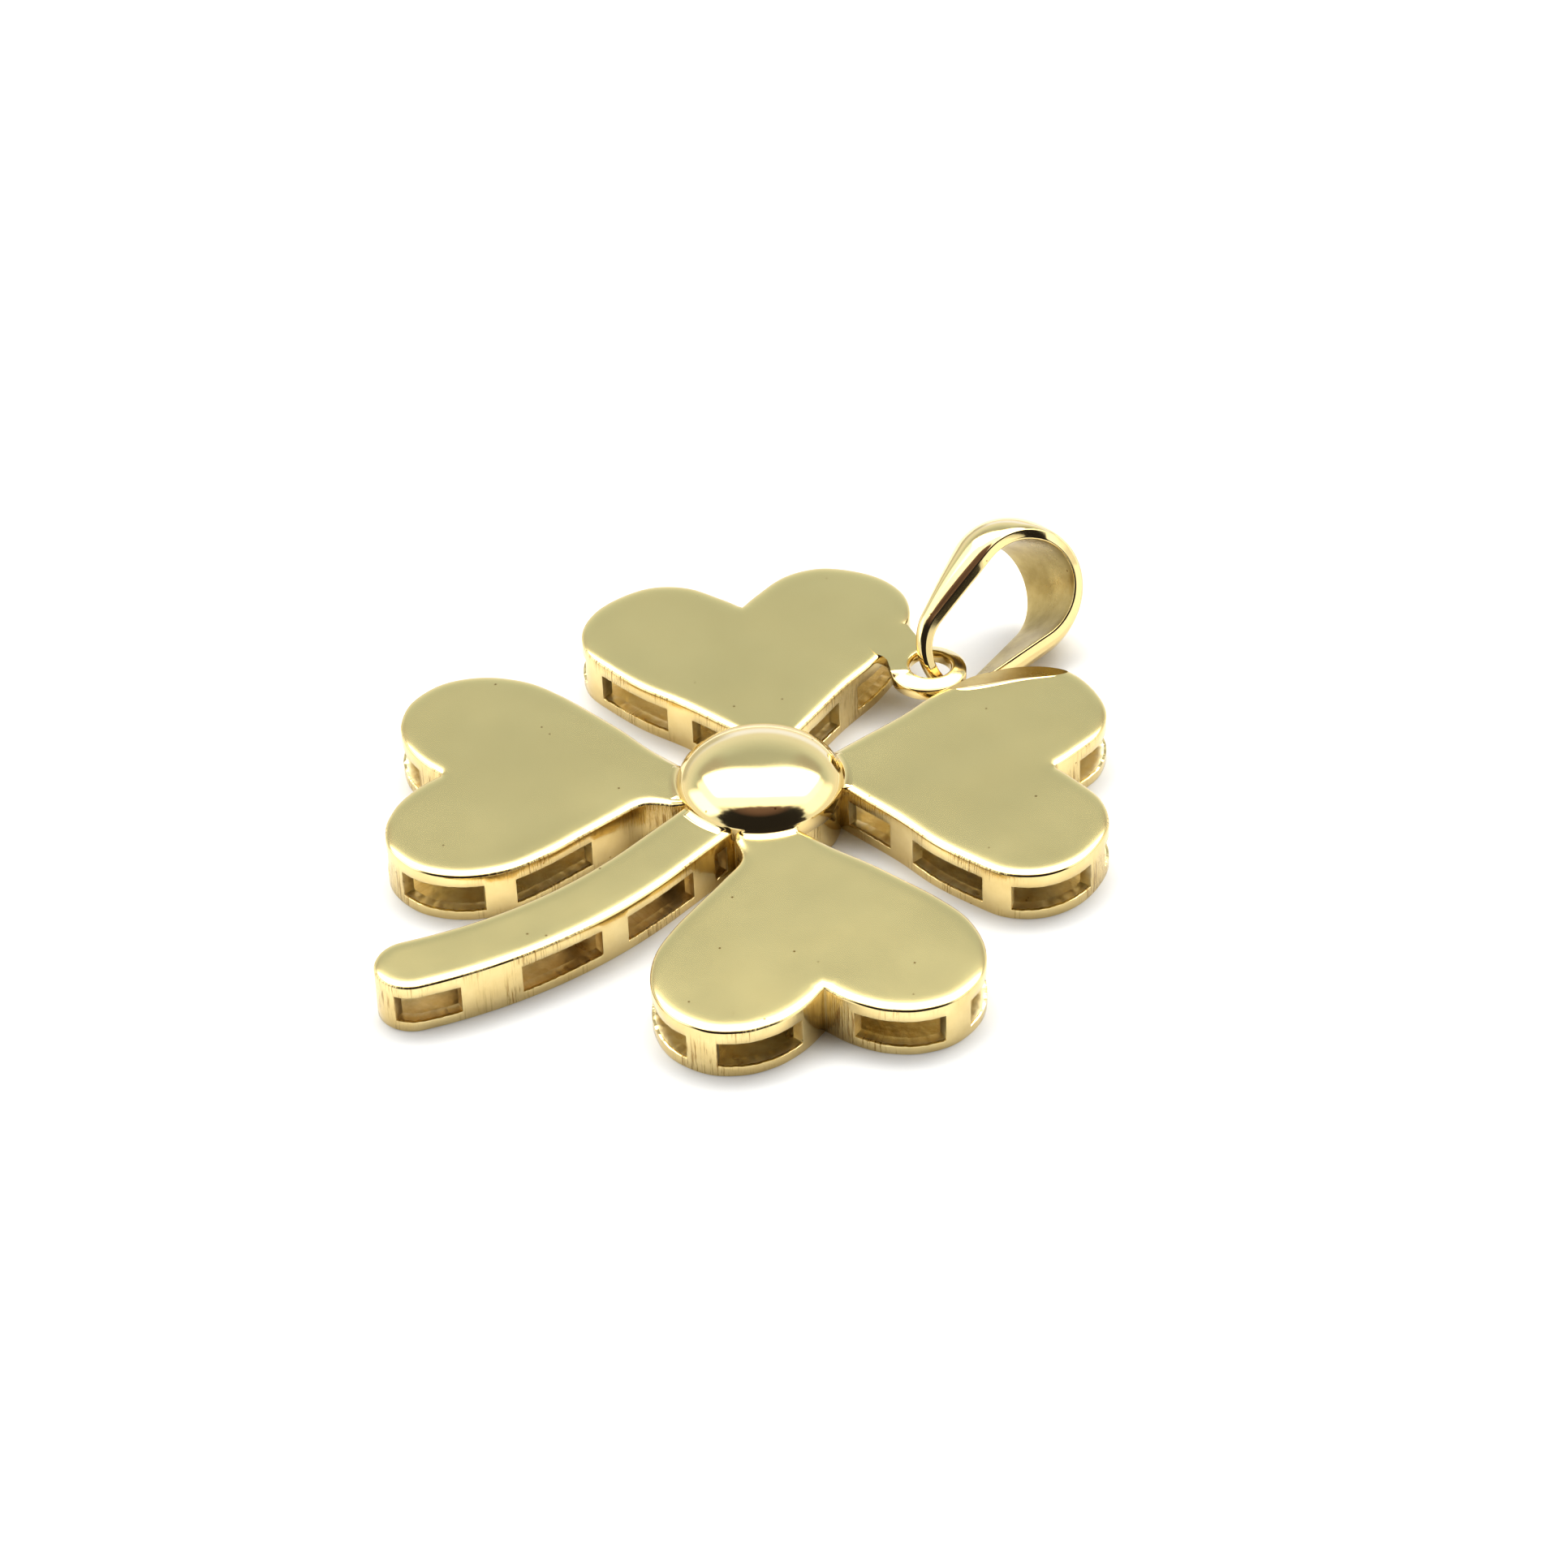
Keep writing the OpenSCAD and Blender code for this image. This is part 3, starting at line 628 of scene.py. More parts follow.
def lengths_of(curve):
    total = [0.0]
    for a, b in zip(curve, curve[1:]):
        total.append(total[-1] + math.dist(a, b))
    return total


def point_at(curve, lengths, s):
    for i in range(1, len(curve)):
        if s <= lengths[i] or i == len(curve) - 1:
            t = (s - lengths[i - 1]) / max(1e-9, lengths[i] - lengths[i - 1])
            return tuple(a + (b - a) * t for a, b in zip(curve[i - 1], curve[i]))


def leaf_half(table, leaf):
    return smooth_curve([(share_w * leaf["w"] / 2, share_l * leaf["l"]) for share_l, share_w in table])


upper_curve = leaf_half(upper_half, upper_leaf)
print("upper leaf half, length in mm:", round(lengths_of(upper_curve)[-1], 2), "points:", len(upper_curve))


# %% Windows along one half
def leaf_windows(curve):
    """Start and end of every window, from the notch on."""
    stop = lengths_of(curve)[-1] - tip_post_w
    rows = []
    s = notch_post_w
    while s <= stop - post_w:
        rows.append((s, min(s + window_l, stop)))
        s += window_l + post_w
    return rows


print("windows of an upper half in mm:", [(round(a, 2), round(b, 2)) for a, b in leaf_windows(upper_curve)])

# %% [markdown]
# ## Walls with windows
# Through the windows one sees only gold, and of a deep brown that light takes on after two or three
# turns between gold faces. White paper under an open back would look grey there, so the back is shut.
# A window could be cut with booleans, but a wall that is laid out in columns, with a column exactly
# at each side of a window, gives clean faces that bevel well. Every column knows its place, its
# inward direction and whether a window opens after it. The saw never follows a line exactly, so each
# window gets its own small error, from a fixed rule, so that it is the same every time.


# %% Lay out the columns of one half
same_place = 1e-6


def saw_error(k, s, share, seed):
    """How far the saw missed the lines of the sill and the roof of window k, at the way s."""
    wobble = 7.3 * k + seed
    burr = 0.007 * math.sin(53.1 * s + wobble) + 0.006 * math.sin(97.7 * s + 2 * wobble)
    sill = 0.016 * math.sin(wobble) + 0.022 * math.sin(2.1 * wobble + 3.0 * share) + burr
    roof = 0.014 * math.cos(wobble) + 0.016 * math.sin(1.7 * wobble + 2.6 * share) - 0.5 * burr
    return sill, roof


def half_columns(curve, windows, spacing, seed):
    lengths = lengths_of(curve)
    total = lengths[-1]
    marks = sorted({0.0, total} | {s for window in windows for s in window})
    stops = []
    for a, b in zip(marks, marks[1:]):
        n = max(1, round((b - a) / spacing))
        stops += [a + (b - a) * i / n for i in range(n)]
    stops.append(total)
    columns = []
    for s in stops:
        column = {
            "p": point_at(curve, lengths, s), "open": False, "rail": rail_h, "roof": body_h - window_roof_t}
        for k, (a, b) in enumerate(windows):
            if a - same_place <= s <= b + same_place:
                sill_error, roof_error = saw_error(k, s, (s - a) / (b - a), seed)
                column["rail"] += sill_error
                column["roof"] += roof_error
                column["open"] = s < b - same_place
        columns.append(column)
    return columns


coarse_half = half_columns(upper_curve, leaf_windows(upper_curve), 0.16, 1.0)
print("columns in an upper half:", len(coarse_half), "in windows:", sum(c["open"] for c in coarse_half))


# %% Close both halves into one loop
no_limit = 9.0
tip_region = 2.2


def close_loop(right, left, width_limit, hidden=()):
    """Columns clockwise from the middle of the start, with inward directions. The left half is mirrored.
    Hidden points are put between the two ends, where the dome covers the tip."""
    loop = [dict(c) for c in right] + [dict(right[-1], p=p, open=False) for p in hidden]
    mirrored = [dict(c, p=(-c["p"][0], c["p"][1])) for c in left]
    opens_before = [False] + [c["open"] for c in mirrored[:-1]]
    back = [dict(c, open=opens) for c, opens in zip(reversed(mirrored), reversed(opens_before))]
    if math.dist(loop[0]["p"], back[-1]["p"]) < same_place:
        back = back[:-1]
    if math.dist(loop[-1]["p"], back[0]["p"]) < same_place:
        back = back[1:]
    loop += back
    n = len(loop)
    run = 0.0
    for i, c in enumerate(loop):
        before, after = loop[i - 1]["p"], loop[(i + 1) % n]["p"]
        d = Vector((after[0] - before[0], after[1] - before[1])).normalized()
        c["in"] = (d.y, -d.x)
        c["limit"] = width_limit(c["p"])
        c["run"] = run
        run += math.dist(c["p"], after)
    return loop


def leaf_limit(p):
    """How far inwards the rim may reach at this place, so that it doesn't cross itself in the tip."""
    if p[1] >= tip_region:
        return no_limit
    return max(0.06, min(0.7 * abs(p[0]), 0.12 + 0.4 * p[1]))


print("columns in a whole upper leaf:", len(close_loop(coarse_half, coarse_half, leaf_limit)))

# %% [markdown]
# ## The rim
# Where wall and plate meet, the wheel has rounded the edge to a very small radius, and it has also
# pulled the plate down a little for a third of a millimetre inside it. That soft roll is what makes the
# white of the softbox fade into the flat tone of the top. A bevel can't do this, so the profile is
# given as slopes at distances from the wall, and the heights are summed from them.

# %% The profile from wall to top, as distances from the wall and slopes in degrees
rim_slopes = [
    (0.000, 88), (0.005, 70), (0.014, 56), (0.027, 43), (0.041, 32), (0.052, 24), (0.066, 18), (0.086, 13),
    (0.112, 9.5), (0.148, 6.6), (0.195, 4.2), (0.255, 2.5), (0.330, 1.3), (0.420, 0.5), (0.520, 0)]
firm_rim_w = 0.1
top_starts = 0.055
flat_margin = 0.04


def rim_profile(share=1.0):
    """(inset, height, is_top) from the wall to the flat top; share narrows the soft roll."""
    rows = [
        (d if d < firm_rim_w else firm_rim_w + (d - firm_rim_w) * share, slope) for d, slope in rim_slopes]
    heights = [body_h]
    for (d1, slope1), (d0, slope0) in zip(reversed(rows[1:]), reversed(rows[:-1])):
        heights.append(heights[-1] - (d1 - d0) * math.tan(math.radians((slope0 + slope1) / 2)))
    heights.reverse()
    profile = [(d, z, d > top_starts) for (d, _), z in zip(rows, heights)]
    return profile + [(profile[-1][0] + flat_margin, body_h, True)]


def squeezed(inset, limit, deepest):
    """Keeps the soft roll inside a narrow tip by pressing it together, never by stacking its rows."""
    if limit >= deepest or limit <= firm_rim_w or inset <= firm_rim_w:
        return min(inset, limit)
    return firm_rim_w + (inset - firm_rim_w) * (limit - firm_rim_w) / (deepest - firm_rim_w)


print("rim profile in mm:", [(round(d, 2), round(z, 3)) for d, z, _ in rim_profile()])

# %% Helpers for vertices that know their place along a wall, and for faces with a finish
TOP, WALL, INSIDE = 0, 1, 2


def run_layer_of(shape):
    """The file marks run up the walls, so each vertex keeps its way along the wall and its height."""
    return shape.verts.layers.float_vector.new("wall_run")


def add_vertex(shape, layer, place, run):
    v = shape.verts.new(Vector(place) * MM)
    v[layer] = Vector(run) * MM
    return v


def add_face(shape, corners, finish):
    face = shape.faces.new(corners)
    face.material_index = finish
    face.smooth = True


print("vertex and face helpers ready")

# %% The vertices of a pierced shell
skin = 0.008
sill_slope_w, sill_slope_h = 0.07, 0.013


def shell_vertices(shape, loop, rim, place, foot):
    """For each column: the outside from foot to flat top, one on the sill beside a window, the inside."""
    layer = run_layer_of(shape)
    deepest = rim[-1][0]

    def vertex(column, inset, height, drop=0.0):
        levels = {
            "foot": foot, "back": back_t, "rail": column["rail"], "roof": column["roof"],
            "ceiling": body_h - plate_t}
        z = levels.get(height, height) - drop
        d = skin + squeezed(inset, column["limit"], deepest)
        x = column["p"][0] + d * column["in"][0]
        y = column["p"][1] + d * column["in"][1]
        return add_vertex(shape, layer, place(x, y, z), (column["run"], z, 0))

    rows = [(0.0, "foot"), (0.0, "rail"), (0.0, "roof")] + [(d, z) for d, z, _ in rim]
    outside = [[vertex(c, d, z, sill_slope_h if z == "rail" else 0.0) for d, z in rows] for c in loop]
    sill = []
    for k, c in enumerate(loop):
        beside = c["open"] or loop[k - 1]["open"]
        sill.append(vertex(c, min(sill_slope_w, 0.5 * c["limit"]), "rail") if beside else None)
    inner = [[vertex(c, wall_t - skin, z) for z in ("back", "rail", "roof", "ceiling")] for c in loop]
    return outside, sill, inner


print("the shell stands back from the solid's wall by", skin, "mm")

# %% The faces of a pierced shell
outlines = []


def pierced_shell(name, loop, roll_share, place, foot=0.0, inside=inside_gold):
    """place turns a point in millimetres, in the outline's own frame, into the pendant's frame."""
    outlines.append([place(*column["p"], body_h)[:2] for column in loop])
    rim = rim_profile(roll_share)
    shape = bmesh.new()
    out, sill, ins = shell_vertices(shape, loop, rim, place, foot)
    finishes = [WALL] * 2 + [TOP if is_top else WALL for _, _, is_top in rim]
    for i, column in enumerate(loop):
        j = (i + 1) % len(loop)
        opens = column["open"]
        for r, finish in enumerate(finishes):
            if not (opens and r == 1):
                add_face(shape, (out[i][r], out[j][r], out[j][r + 1], out[i][r + 1]), finish)
        for r in range(3):
            if not (opens and r == 1):
                add_face(shape, (ins[i][r], ins[i][r + 1], ins[j][r + 1], ins[j][r]), INSIDE)
        if opens:
            add_face(shape, (out[i][1], out[j][1], sill[j], sill[i]), WALL)
            add_face(shape, (sill[i], sill[j], ins[j][1], ins[i][1]), INSIDE)
            add_face(shape, (out[i][2], ins[i][2], ins[j][2], out[j][2]), INSIDE)
        if opens != loop[i - 1]["open"]:
            add_face(shape, (out[i][1], out[i][2], ins[i][2], ins[i][1], sill[i]), INSIDE)
    add_face(shape, [column[-1] for column in out], TOP)
    add_face(shape, [column[-1] for column in reversed(ins)], INSIDE)
    add_face(shape, [column[0] for column in reversed(out)], TOP)
    add_face(shape, [column[0] for column in ins], INSIDE)
    bmesh.ops.recalc_face_normals(shape, faces=shape.faces)
    return make_piece(name, shape, (satin_gold, wall_gold, inside))


print("rows of faces up the outside:", 2 + len(rim_profile()))


# %% Soften the sharp edges and fix the mesh
sharp_angle = 40
bevel_angle = 48
corners_of_plate = 10


def apply_modifiers(piece):
    """Puts what the modifiers give in the place of the piece's own mesh."""
    bpy.context.view_layer.update()
    done = piece.evaluated_get(bpy.context.evaluated_depsgraph_get())
    old, mesh = piece.data, bpy.data.meshes.new_from_object(done)
    piece.modifiers.clear()
    piece.data = mesh
    bpy.data.meshes.remove(old)
    mesh.name = piece.name
    return mesh


def settle(piece, edge_w):
    """Bevels the edges that the file would have broken. The two big plate faces stay truly flat."""
    bevel = piece.modifiers.new("broken_edges", "BEVEL")
    bevel.width = edge_w * MM
    bevel.segments = 2
    bevel.limit_method = "ANGLE"
    bevel.angle_limit = math.radians(bevel_angle)
    bevel.use_clamp_overlap = True
    mesh = apply_modifiers(piece)
    mesh.shade_smooth()
    mesh.set_sharp_from_angle(angle=math.radians(sharp_angle))
    for polygon in mesh.polygons:
        filed = mesh.materials[polygon.material_index] == filed_corner_gold_with_painted_reflection
        if filed or len(polygon.vertices) > corners_of_plate:
            polygon.use_smooth = False
    return len(mesh.polygons)


def wear(piece, body="clover", node="clover_body"):
    """Says which body carries the piece, and which solid it takes the place of."""
    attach(piece, body)
    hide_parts(node)


print("edge helper ready")

# %% [markdown]
# ## The four leaves
# The two upper leaves mirror each other, and so do the lower ones. The upper right leaf has a corner
# filed away beside the bail, and the lug's hole bites the edge of the upper left leaf, so those two
# are cut after they are built, while they are still closed meshes. The file has pushed the metal out
# a little at that corner and left a low bright burr along its near edge.

# %% A helper that places a leaf
swell_centre, swell_r, swell_h, swell_way = (1.15, 7.35), 0.85, 0.14, (-0.79, 0.61)


def leaf_place(leaf, side):
    turn = math.radians(-leaf["angle"])
    c, s = math.cos(turn), math.sin(turn)

    def place(x, y, z):
        return (side * (c * x - s * y + leaf["tip"][0]), s * x + c * y + leaf["tip"][1], z)

    def swollen(x, y, z):
        """The filed corner stands a little proud of the outline, most of all at the top."""
        x, y, z = place(x, y, z)
        far = math.hypot(x - swell_centre[0], y - swell_centre[1]) / swell_r
        push = swell_h * (1 - far * far) ** 2 * z / body_h if far < 1 else 0.0
        return x + swell_way[0] * push, y + swell_way[1] * push, z

    return swollen if leaf is upper_leaf and side == 1 else place


print("the filed corner swells by", swell_h, "mm")

# %% Build the leaves
leaf_rows = {
    "upper": (upper_leaf, (upper_half, upper_half), []),
    "lower": (lower_leaf, (lower_stem_half, lower_half),
              [(1.32, -0.30), (0.90, -0.62), (0.30, -0.62), (-0.15, -0.35)])}
lowest_foot, foot_step, leaf_spacing = 0.002, 0.001, 0.09
leaves = {}
for row, (leaf, tables, hidden_tip) in leaf_rows.items():
    for side, word in ((1, "right"), (-1, "left")):
        columns = []
        for k, table in enumerate(tables):
            half = leaf_half(table, leaf)
            columns.append(half_columns(half, leaf_windows(half), leaf_spacing, 1.0 + 2 * k + side))
        loop = close_loop(*columns, leaf_limit, hidden_tip)
        foot = lowest_foot + foot_step * len(leaves)
        leaves[row, word] = pierced_shell(f"{row}_leaf_{word}", loop, 1.0, leaf_place(leaf, side), foot)
print("leaves:", {piece.name: len(piece.data.polygons) for piece in leaves.values()})


# %% A helper that cuts a leaf
def cut_away(piece, corners, faces, name):
    """Takes a closed shape, given in millimetres, out of a piece."""
    mesh = bpy.data.meshes.new(name)
    mesh.from_pydata([tuple(Vector(p) * MM) for p in corners], [], faces)
    shape = bmesh.new()
    shape.from_mesh(mesh)
    bmesh.ops.recalc_face_normals(shape, faces=shape.faces)
    bpy.data.meshes.remove(mesh)
    tool = make_piece(name, shape)
    cut = piece.modifiers.new(name, "BOOLEAN")
    cut.object = tool
    cut.operation = "DIFFERENCE"
    cut.solver = "EXACT"
    apply_modifiers(piece)
    mesh = tool.data
    bpy.data.objects.remove(tool)
    bpy.data.meshes.remove(mesh)


print("cutting helper ready")

# %% File the corner beside the bail
filed_slope, filed_angle = math.radians(14), math.radians(52.2)
filed_start, filed_l = (1.375, 6.315), 2.2
slope_c, slope_s = math.cos(-filed_slope), math.sin(-filed_slope)
turn_c, turn_s = math.cos(filed_angle), math.sin(filed_angle)


def filed_box():
    """A box whose underside is the filed slope: tipped about its near edge, then turned to its place."""
    lengths, widths, heights = (-filed_l / 2, 1.5 * filed_l), (0, filed_l), (0, body_h)
    corners = []
    for x, y, z in [(x, y, z) for x in lengths for y in widths for z in heights]:
        y, z = y * slope_c - z * slope_s, y * slope_s + z * slope_c
        x, y = x * turn_c - y * turn_s, x * turn_s + y * turn_c
        corners.append((filed_start[0] + x, filed_start[1] + y, body_h + z))
    faces = [(0, 1, 3, 2), (4, 6, 7, 5), (0, 4, 5, 1), (2, 3, 7, 6), (0, 2, 6, 4), (1, 5, 7, 3)]
    return corners, faces


cut_away(leaves["upper", "right"], *filed_box(), "filed_corner")
print("faces after filing:", len(leaves["upper", "right"].data.polygons))

# %% Soften its line and give it its own material, with a painted reflection of the bail
facet_normal = Vector((
    -math.sin(filed_angle) * math.sin(filed_slope), math.cos(filed_angle) * math.sin(filed_slope),
    math.cos(filed_slope)))
flat_enough, facet_enough = 0.9999, 0.9995
filed_line_r = 0.03


def soften_facet(piece):
    """Rounds the line where the filed slope meets the flat top; the slope gets a material with a painted
    reflection of the bail.
    """
    shape = bmesh.new()
    shape.from_mesh(piece.data)
    shape.normal_update()
    lines = []
    for edge in shape.edges:
        normals = [face.normal for face in edge.link_faces]
        if len(normals) == 2:
            level = [n.z > flat_enough for n in normals]
            sloped = [n.dot(facet_normal) > flat_enough for n in normals]
            if (level[0] and sloped[1]) or (level[1] and sloped[0]):
                lines.append(edge)
    bmesh.ops.bevel(
        shape, geom=lines, offset=filed_line_r * MM, segments=4, profile=0.5, affect="EDGES",
        clamp_overlap=True)
    # The slope takes the darker material, a painted reflection of the bail above it.
    for face in shape.faces:
        if face.normal.dot(facet_normal) > facet_enough:
            face.material_index = len(piece.data.materials)
    piece.data.materials.append(filed_corner_gold_with_painted_reflection)
    shape.to_mesh(piece.data)
    shape.free()
    return len(lines)


print("softened lines:", soften_facet(leaves["upper", "right"]))

# %% The low burr that the file left along the slope's near edge
burr_start, burr_end, burr_steps, burr_rows = 0.12, 2.93, 40, 12
burr_rise, burr_sink, burr_depth = 0.18, 0.0015, 0.03


def burr_half_w(share):
    """Half its width: it opens quickly, narrows slowly and closes at once."""
    opening, closing = min(1.0, share / 0.12) ** 0.5, min(1.0, (1 - share) / 0.05) ** 0.5
    return 0.115 * opening * (1 - 0.72 * share) * closing + 0.004


def burr_strip(shape, share):
    """Vertices across the burr. Its far half follows the filed slope down."""
    along = burr_start + (burr_end - burr_start) * share
    half = burr_half_w(share)
    bend = 0.03 * math.sin(7.0 * share)
    strip = []
    for j in range(burr_rows + 1):
        u = -1 + 2 * j / burr_rows
        d = half * u
        x = filed_start[0] + along * turn_c - (d - bend) * turn_s
        y = filed_start[1] + along * turn_s + (d - bend) * turn_c
        z = body_h + burr_rise * half * (1 - u * u) - math.tan(filed_slope) * max(0.0, d) - burr_sink
        strip.append(shape.verts.new(Vector((x, y, z)) * MM))
    return strip


print("burr's width in mm near its start and end:", [round(2 * burr_half_w(t), 2) for t in (0.12, 0.95)])


# %% Build the burr
def build_burr():
    """A lens of metal, widest near its start, whose near side is what shines."""
    shape = bmesh.new()
    strips = [burr_strip(shape, i / burr_steps) for i in range(burr_steps + 1)]
    for a, b in zip(strips, strips[1:]):
        for j in range(burr_rows):
            shape.faces.new((a[j], b[j], b[j + 1], a[j + 1])).smooth = True
    down = Vector((0, 0, burr_depth * MM))
    base = [[shape.verts.new(strip[j].co - down) for j in (0, burr_rows)] for strip in strips]
    for (a, b), (p, q) in zip(zip(base, base[1:]), zip(strips, strips[1:])):
        shape.faces.new((a[0], b[0], q[0], p[0]))
        shape.faces.new((a[1], p[-1], q[-1], b[1]))
        shape.faces.new((a[0], a[1], b[1], b[0]))
    for end, low in ((strips[0], base[0]), (strips[-1], base[-1])):
        shape.faces.new([low[0]] + end + [low[1]])
    bmesh.ops.recalc_face_normals(shape, faces=shape.faces)
    return make_piece("filed_burr", shape, (polished_gold,), sharp_angle)


burr = build_burr()
wear(burr)
print("burr faces:", len(burr.data.polygons))

# %% Drill past the left leaf's edge
lug_x, lug_y, lug_r, lug_t = 0.17, 6.74, 1.06, 0.42
lug_hole_r, lug_hole_shift, lug_chamfer = 0.56, 0.09, 0.12
drill_flare, drill_reach = 0.62, 0.5


def drill_shape(sides=48):
    """The hole with its two chamfers, as rings from below to above."""
    wide_r = lug_hole_r + drill_flare
    rings = [
        (wide_r, -drill_reach), (lug_hole_r, lug_chamfer), (lug_hole_r, lug_t - lug_chamfer),
        (wide_r, lug_t + drill_reach)]
    corners = []
    for r, z in rings:
        for k in range(sides):
            a = 2 * math.pi * k / sides
            x, y = lug_x + r * math.cos(a), lug_y + lug_hole_shift + r * math.sin(a)
            corners.append((x, y, body_h - lug_t + z))
    faces = [tuple(range(sides)), tuple(range(3 * sides, 4 * sides))]
    for low in (0, sides, 2 * sides):
        high = low + sides
        for k in range(sides):
            n = (k + 1) % sides
            faces.append((low + k, low + n, high + n, high + k))
    return corners, faces


cut_away(leaves["upper", "left"], *drill_shape(), "lug_drill")
print("faces after drilling:", len(leaves["upper", "left"].data.polygons))

# %% Break the edges of all four
broken_edge_w = 0.03
for piece in leaves.values():
    print(piece.name, "faces after bevel:", settle(piece, broken_edge_w))
    wear(piece)

# %% [markdown]
# ## The stem
# The stem is built like a leaf: a flat plate on a pierced wall. It runs straight out of the dome and
# then bends to the left, with its round end cut by one short window on each side. A band swept along
# a curve would be quicker, but the shell builder gives it the same windows, rim and sills as the
# leaves have, so each side of the stem is drawn as a line of points and handed to it.

# %% Sizes of the stem
stem_top_w, stem_end_w, stem_straight_l, stem_bend_r = 1.68, 1.94, 3.3, 13.6
stem_bend, stem_root_y, core_r = math.radians(31), 1, 2.15
stem_window_first, stem_end_window_l, stem_end_post_w, stem_root_post_w = 2.63, 1.8, 0.8, 0.15
stem_reach = stem_straight_l + stem_bend_r * math.sin(stem_bend)
print("the stem reaches from its root, in mm:", round(stem_reach, 2))


# %% One side of the stem
def stem_side(side, straight_steps=20, bend_steps=40, end_steps=18):
    def half_w(y):
        return (stem_top_w + (stem_end_w - stem_top_w) * y / stem_reach) / 2

    def centre(a):
        return -stem_bend_r * (1 - math.cos(a)), -stem_root_y - stem_straight_l - stem_bend_r * math.sin(a)

    straight = [stem_straight_l * i / straight_steps for i in range(straight_steps)]
    points = [(side * half_w(y), -stem_root_y - y) for y in straight]
    for i in range(bend_steps):
        a = stem_bend * i / bend_steps
        x, y = centre(a)
        w = side * half_w(stem_straight_l + stem_bend_r * math.sin(a))
        points.append((x + w * math.cos(a), y - w * math.sin(a)))
    x, y = centre(stem_bend)
    c, s = math.cos(stem_bend), math.sin(stem_bend)
    for i in range(end_steps + 1):
        a = math.pi / 2 * i / end_steps
        along, across = stem_end_w / 2 * math.sin(a), side * stem_end_w / 2 * math.cos(a)
        points.append((x + across * c - along * s, y - across * s - along * c))
    return points


stem_right = stem_side(1)
stem_left = [(-x, y) for x, y in stem_side(-1)]
print("length of the right side in mm:", round(lengths_of(stem_right)[-1], 2))


# %% Windows of the stem
def stem_windows(curve):
    """A short one beside the dome, whole ones down the side, and one in the round end."""
    end = lengths_of(curve)[-1] - stem_end_post_w
    rows = [(core_r - stem_root_y + stem_root_post_w, stem_window_first - post_w)]
    s = stem_window_first
    stop = end - stem_end_window_l - post_w
    while s <= stop - post_w:
        rows.append((s, min(s + window_l, stop)))
        s += window_l + post_w
    return rows + [(end - stem_end_window_l, end)]


print("stem windows in mm:", [(round(a, 2), round(b, 2)) for a, b in stem_windows(stem_right)])

# %% Build the stem
stem_foot, stem_spacing, stem_roll = 0.006, 0.08, 0.8
stem_columns = []
for k, side in enumerate((stem_right, stem_left)):
    stem_columns.append(half_columns(side, stem_windows(side), stem_spacing, 4.0 + k))
stem_loop = close_loop(*stem_columns, lambda p: no_limit)
# The stem's inside takes the darker material, painted shade for the narrow box.
stem = pierced_shell("stem", stem_loop, stem_roll, lambda *point: point, stem_foot, stem_inside_shaded_gold)
print("stem faces:", settle(stem, broken_edge_w))
wear(stem)

# %% [markdown]
# ## The dome and its core
# The boss is a polished button: nearly flat on top, with a full shoulder that runs out into the
# leaves in a hollow line of solder. Under it stands a short post, the core, to which the leaves and
# the stem are soldered. A half sphere that is squashed would have neither the shoulder nor the hollow
# line, so both forms are made by turning a profile. The solder lies only where there is a leaf or the
# stem under it, so it is taken back to the dome's side over the gaps between them.


# %% A helper that turns a profile
def turned(name, rows, sides, finishes):
    """rows of (radius, height, finish); a radius of 0 closes to a point."""
    shape = bmesh.new()
    layer = run_layer_of(shape)
    rings = []
    for r, z, _ in rows:
        angles = [2 * math.pi * k / sides for k in range(sides if r else 1)]
        rings.append([
            add_vertex(shape, layer, (r * math.cos(a), r * math.sin(a), z), (max(r, 1.0) * a, z, 0))
            for a in angles])
    for low, high, (_, _, finish) in zip(rings, rings[1:], rows[1:]):
        for k in range(sides):
            n = (k + 1) % sides
            corners = [low[k % len(low)], low[n % len(low)], high[n % len(high)], high[k % len(high)]]
            add_face(shape, list(dict.fromkeys(corners)), finish)
    bmesh.ops.recalc_face_normals(shape, faces=shape.faces)
    return make_piece(name, shape, finishes, sharp_angle)


print("turning helper ready")

# %% The dome's crown and its line of solder
dome_r, dome_skin, dome_h, dome_fullness = 2.29, 0.005, 0.85, 2.35
dome_sink, seam_angle = 0.20, math.radians(12.4)
seam_bends = ((0.09, 69, 20), (0.5, 20, 0))
seam_lip_w, seam_lip_sink = 0.02, 0.004


def dome_point(a):
    """The crown is the top of a taller boss that is sunk a little into the leaves."""
    r = (dome_r - dome_skin) * max(0.0, math.cos(a)) ** (2 / dome_fullness)
    return r, body_h - dome_sink + (dome_h + dome_sink) * math.sin(a) ** (2 / dome_fullness)


def seam_fillet(steps=6):
    """The hollow line, as (radius, height) from the outside in. Each bend has a radius and two slopes."""
    r, z = dome_point(seam_angle)
    rows = []
    for bend, steep, flat in seam_bends:
        tilts = [math.radians(steep + (flat - steep) * i / steps) for i in range(steps + 1)]
        for t0, t1 in zip(tilts, tilts[1:]):
            r += bend * (math.sin(t0) - math.sin(t1))
            z -= bend * (math.cos(t1) - math.cos(t0))
            rows.append((r, z))
    return [(r + seam_lip_w, body_h - seam_lip_sink)] + rows[::-1]


print("solder line from", round(dome_point(seam_angle)[0], 2), "to", round(seam_fillet()[0][0], 2), "mm")


# %% Where the solder has something to lie on
def covered(x, y):
    """Is there a leaf or the stem under this place?"""
    for outline in outlines:
        inside = False
        for (x0, y0), (x1, y1) in zip(outline, outline[1:] + outline[:1]):
            if (y0 > y) != (y1 > y) and x < x0 + (y - y0) * (x1 - x0) / (y1 - y0):
                inside = not inside
        if inside:
            return True
    return False


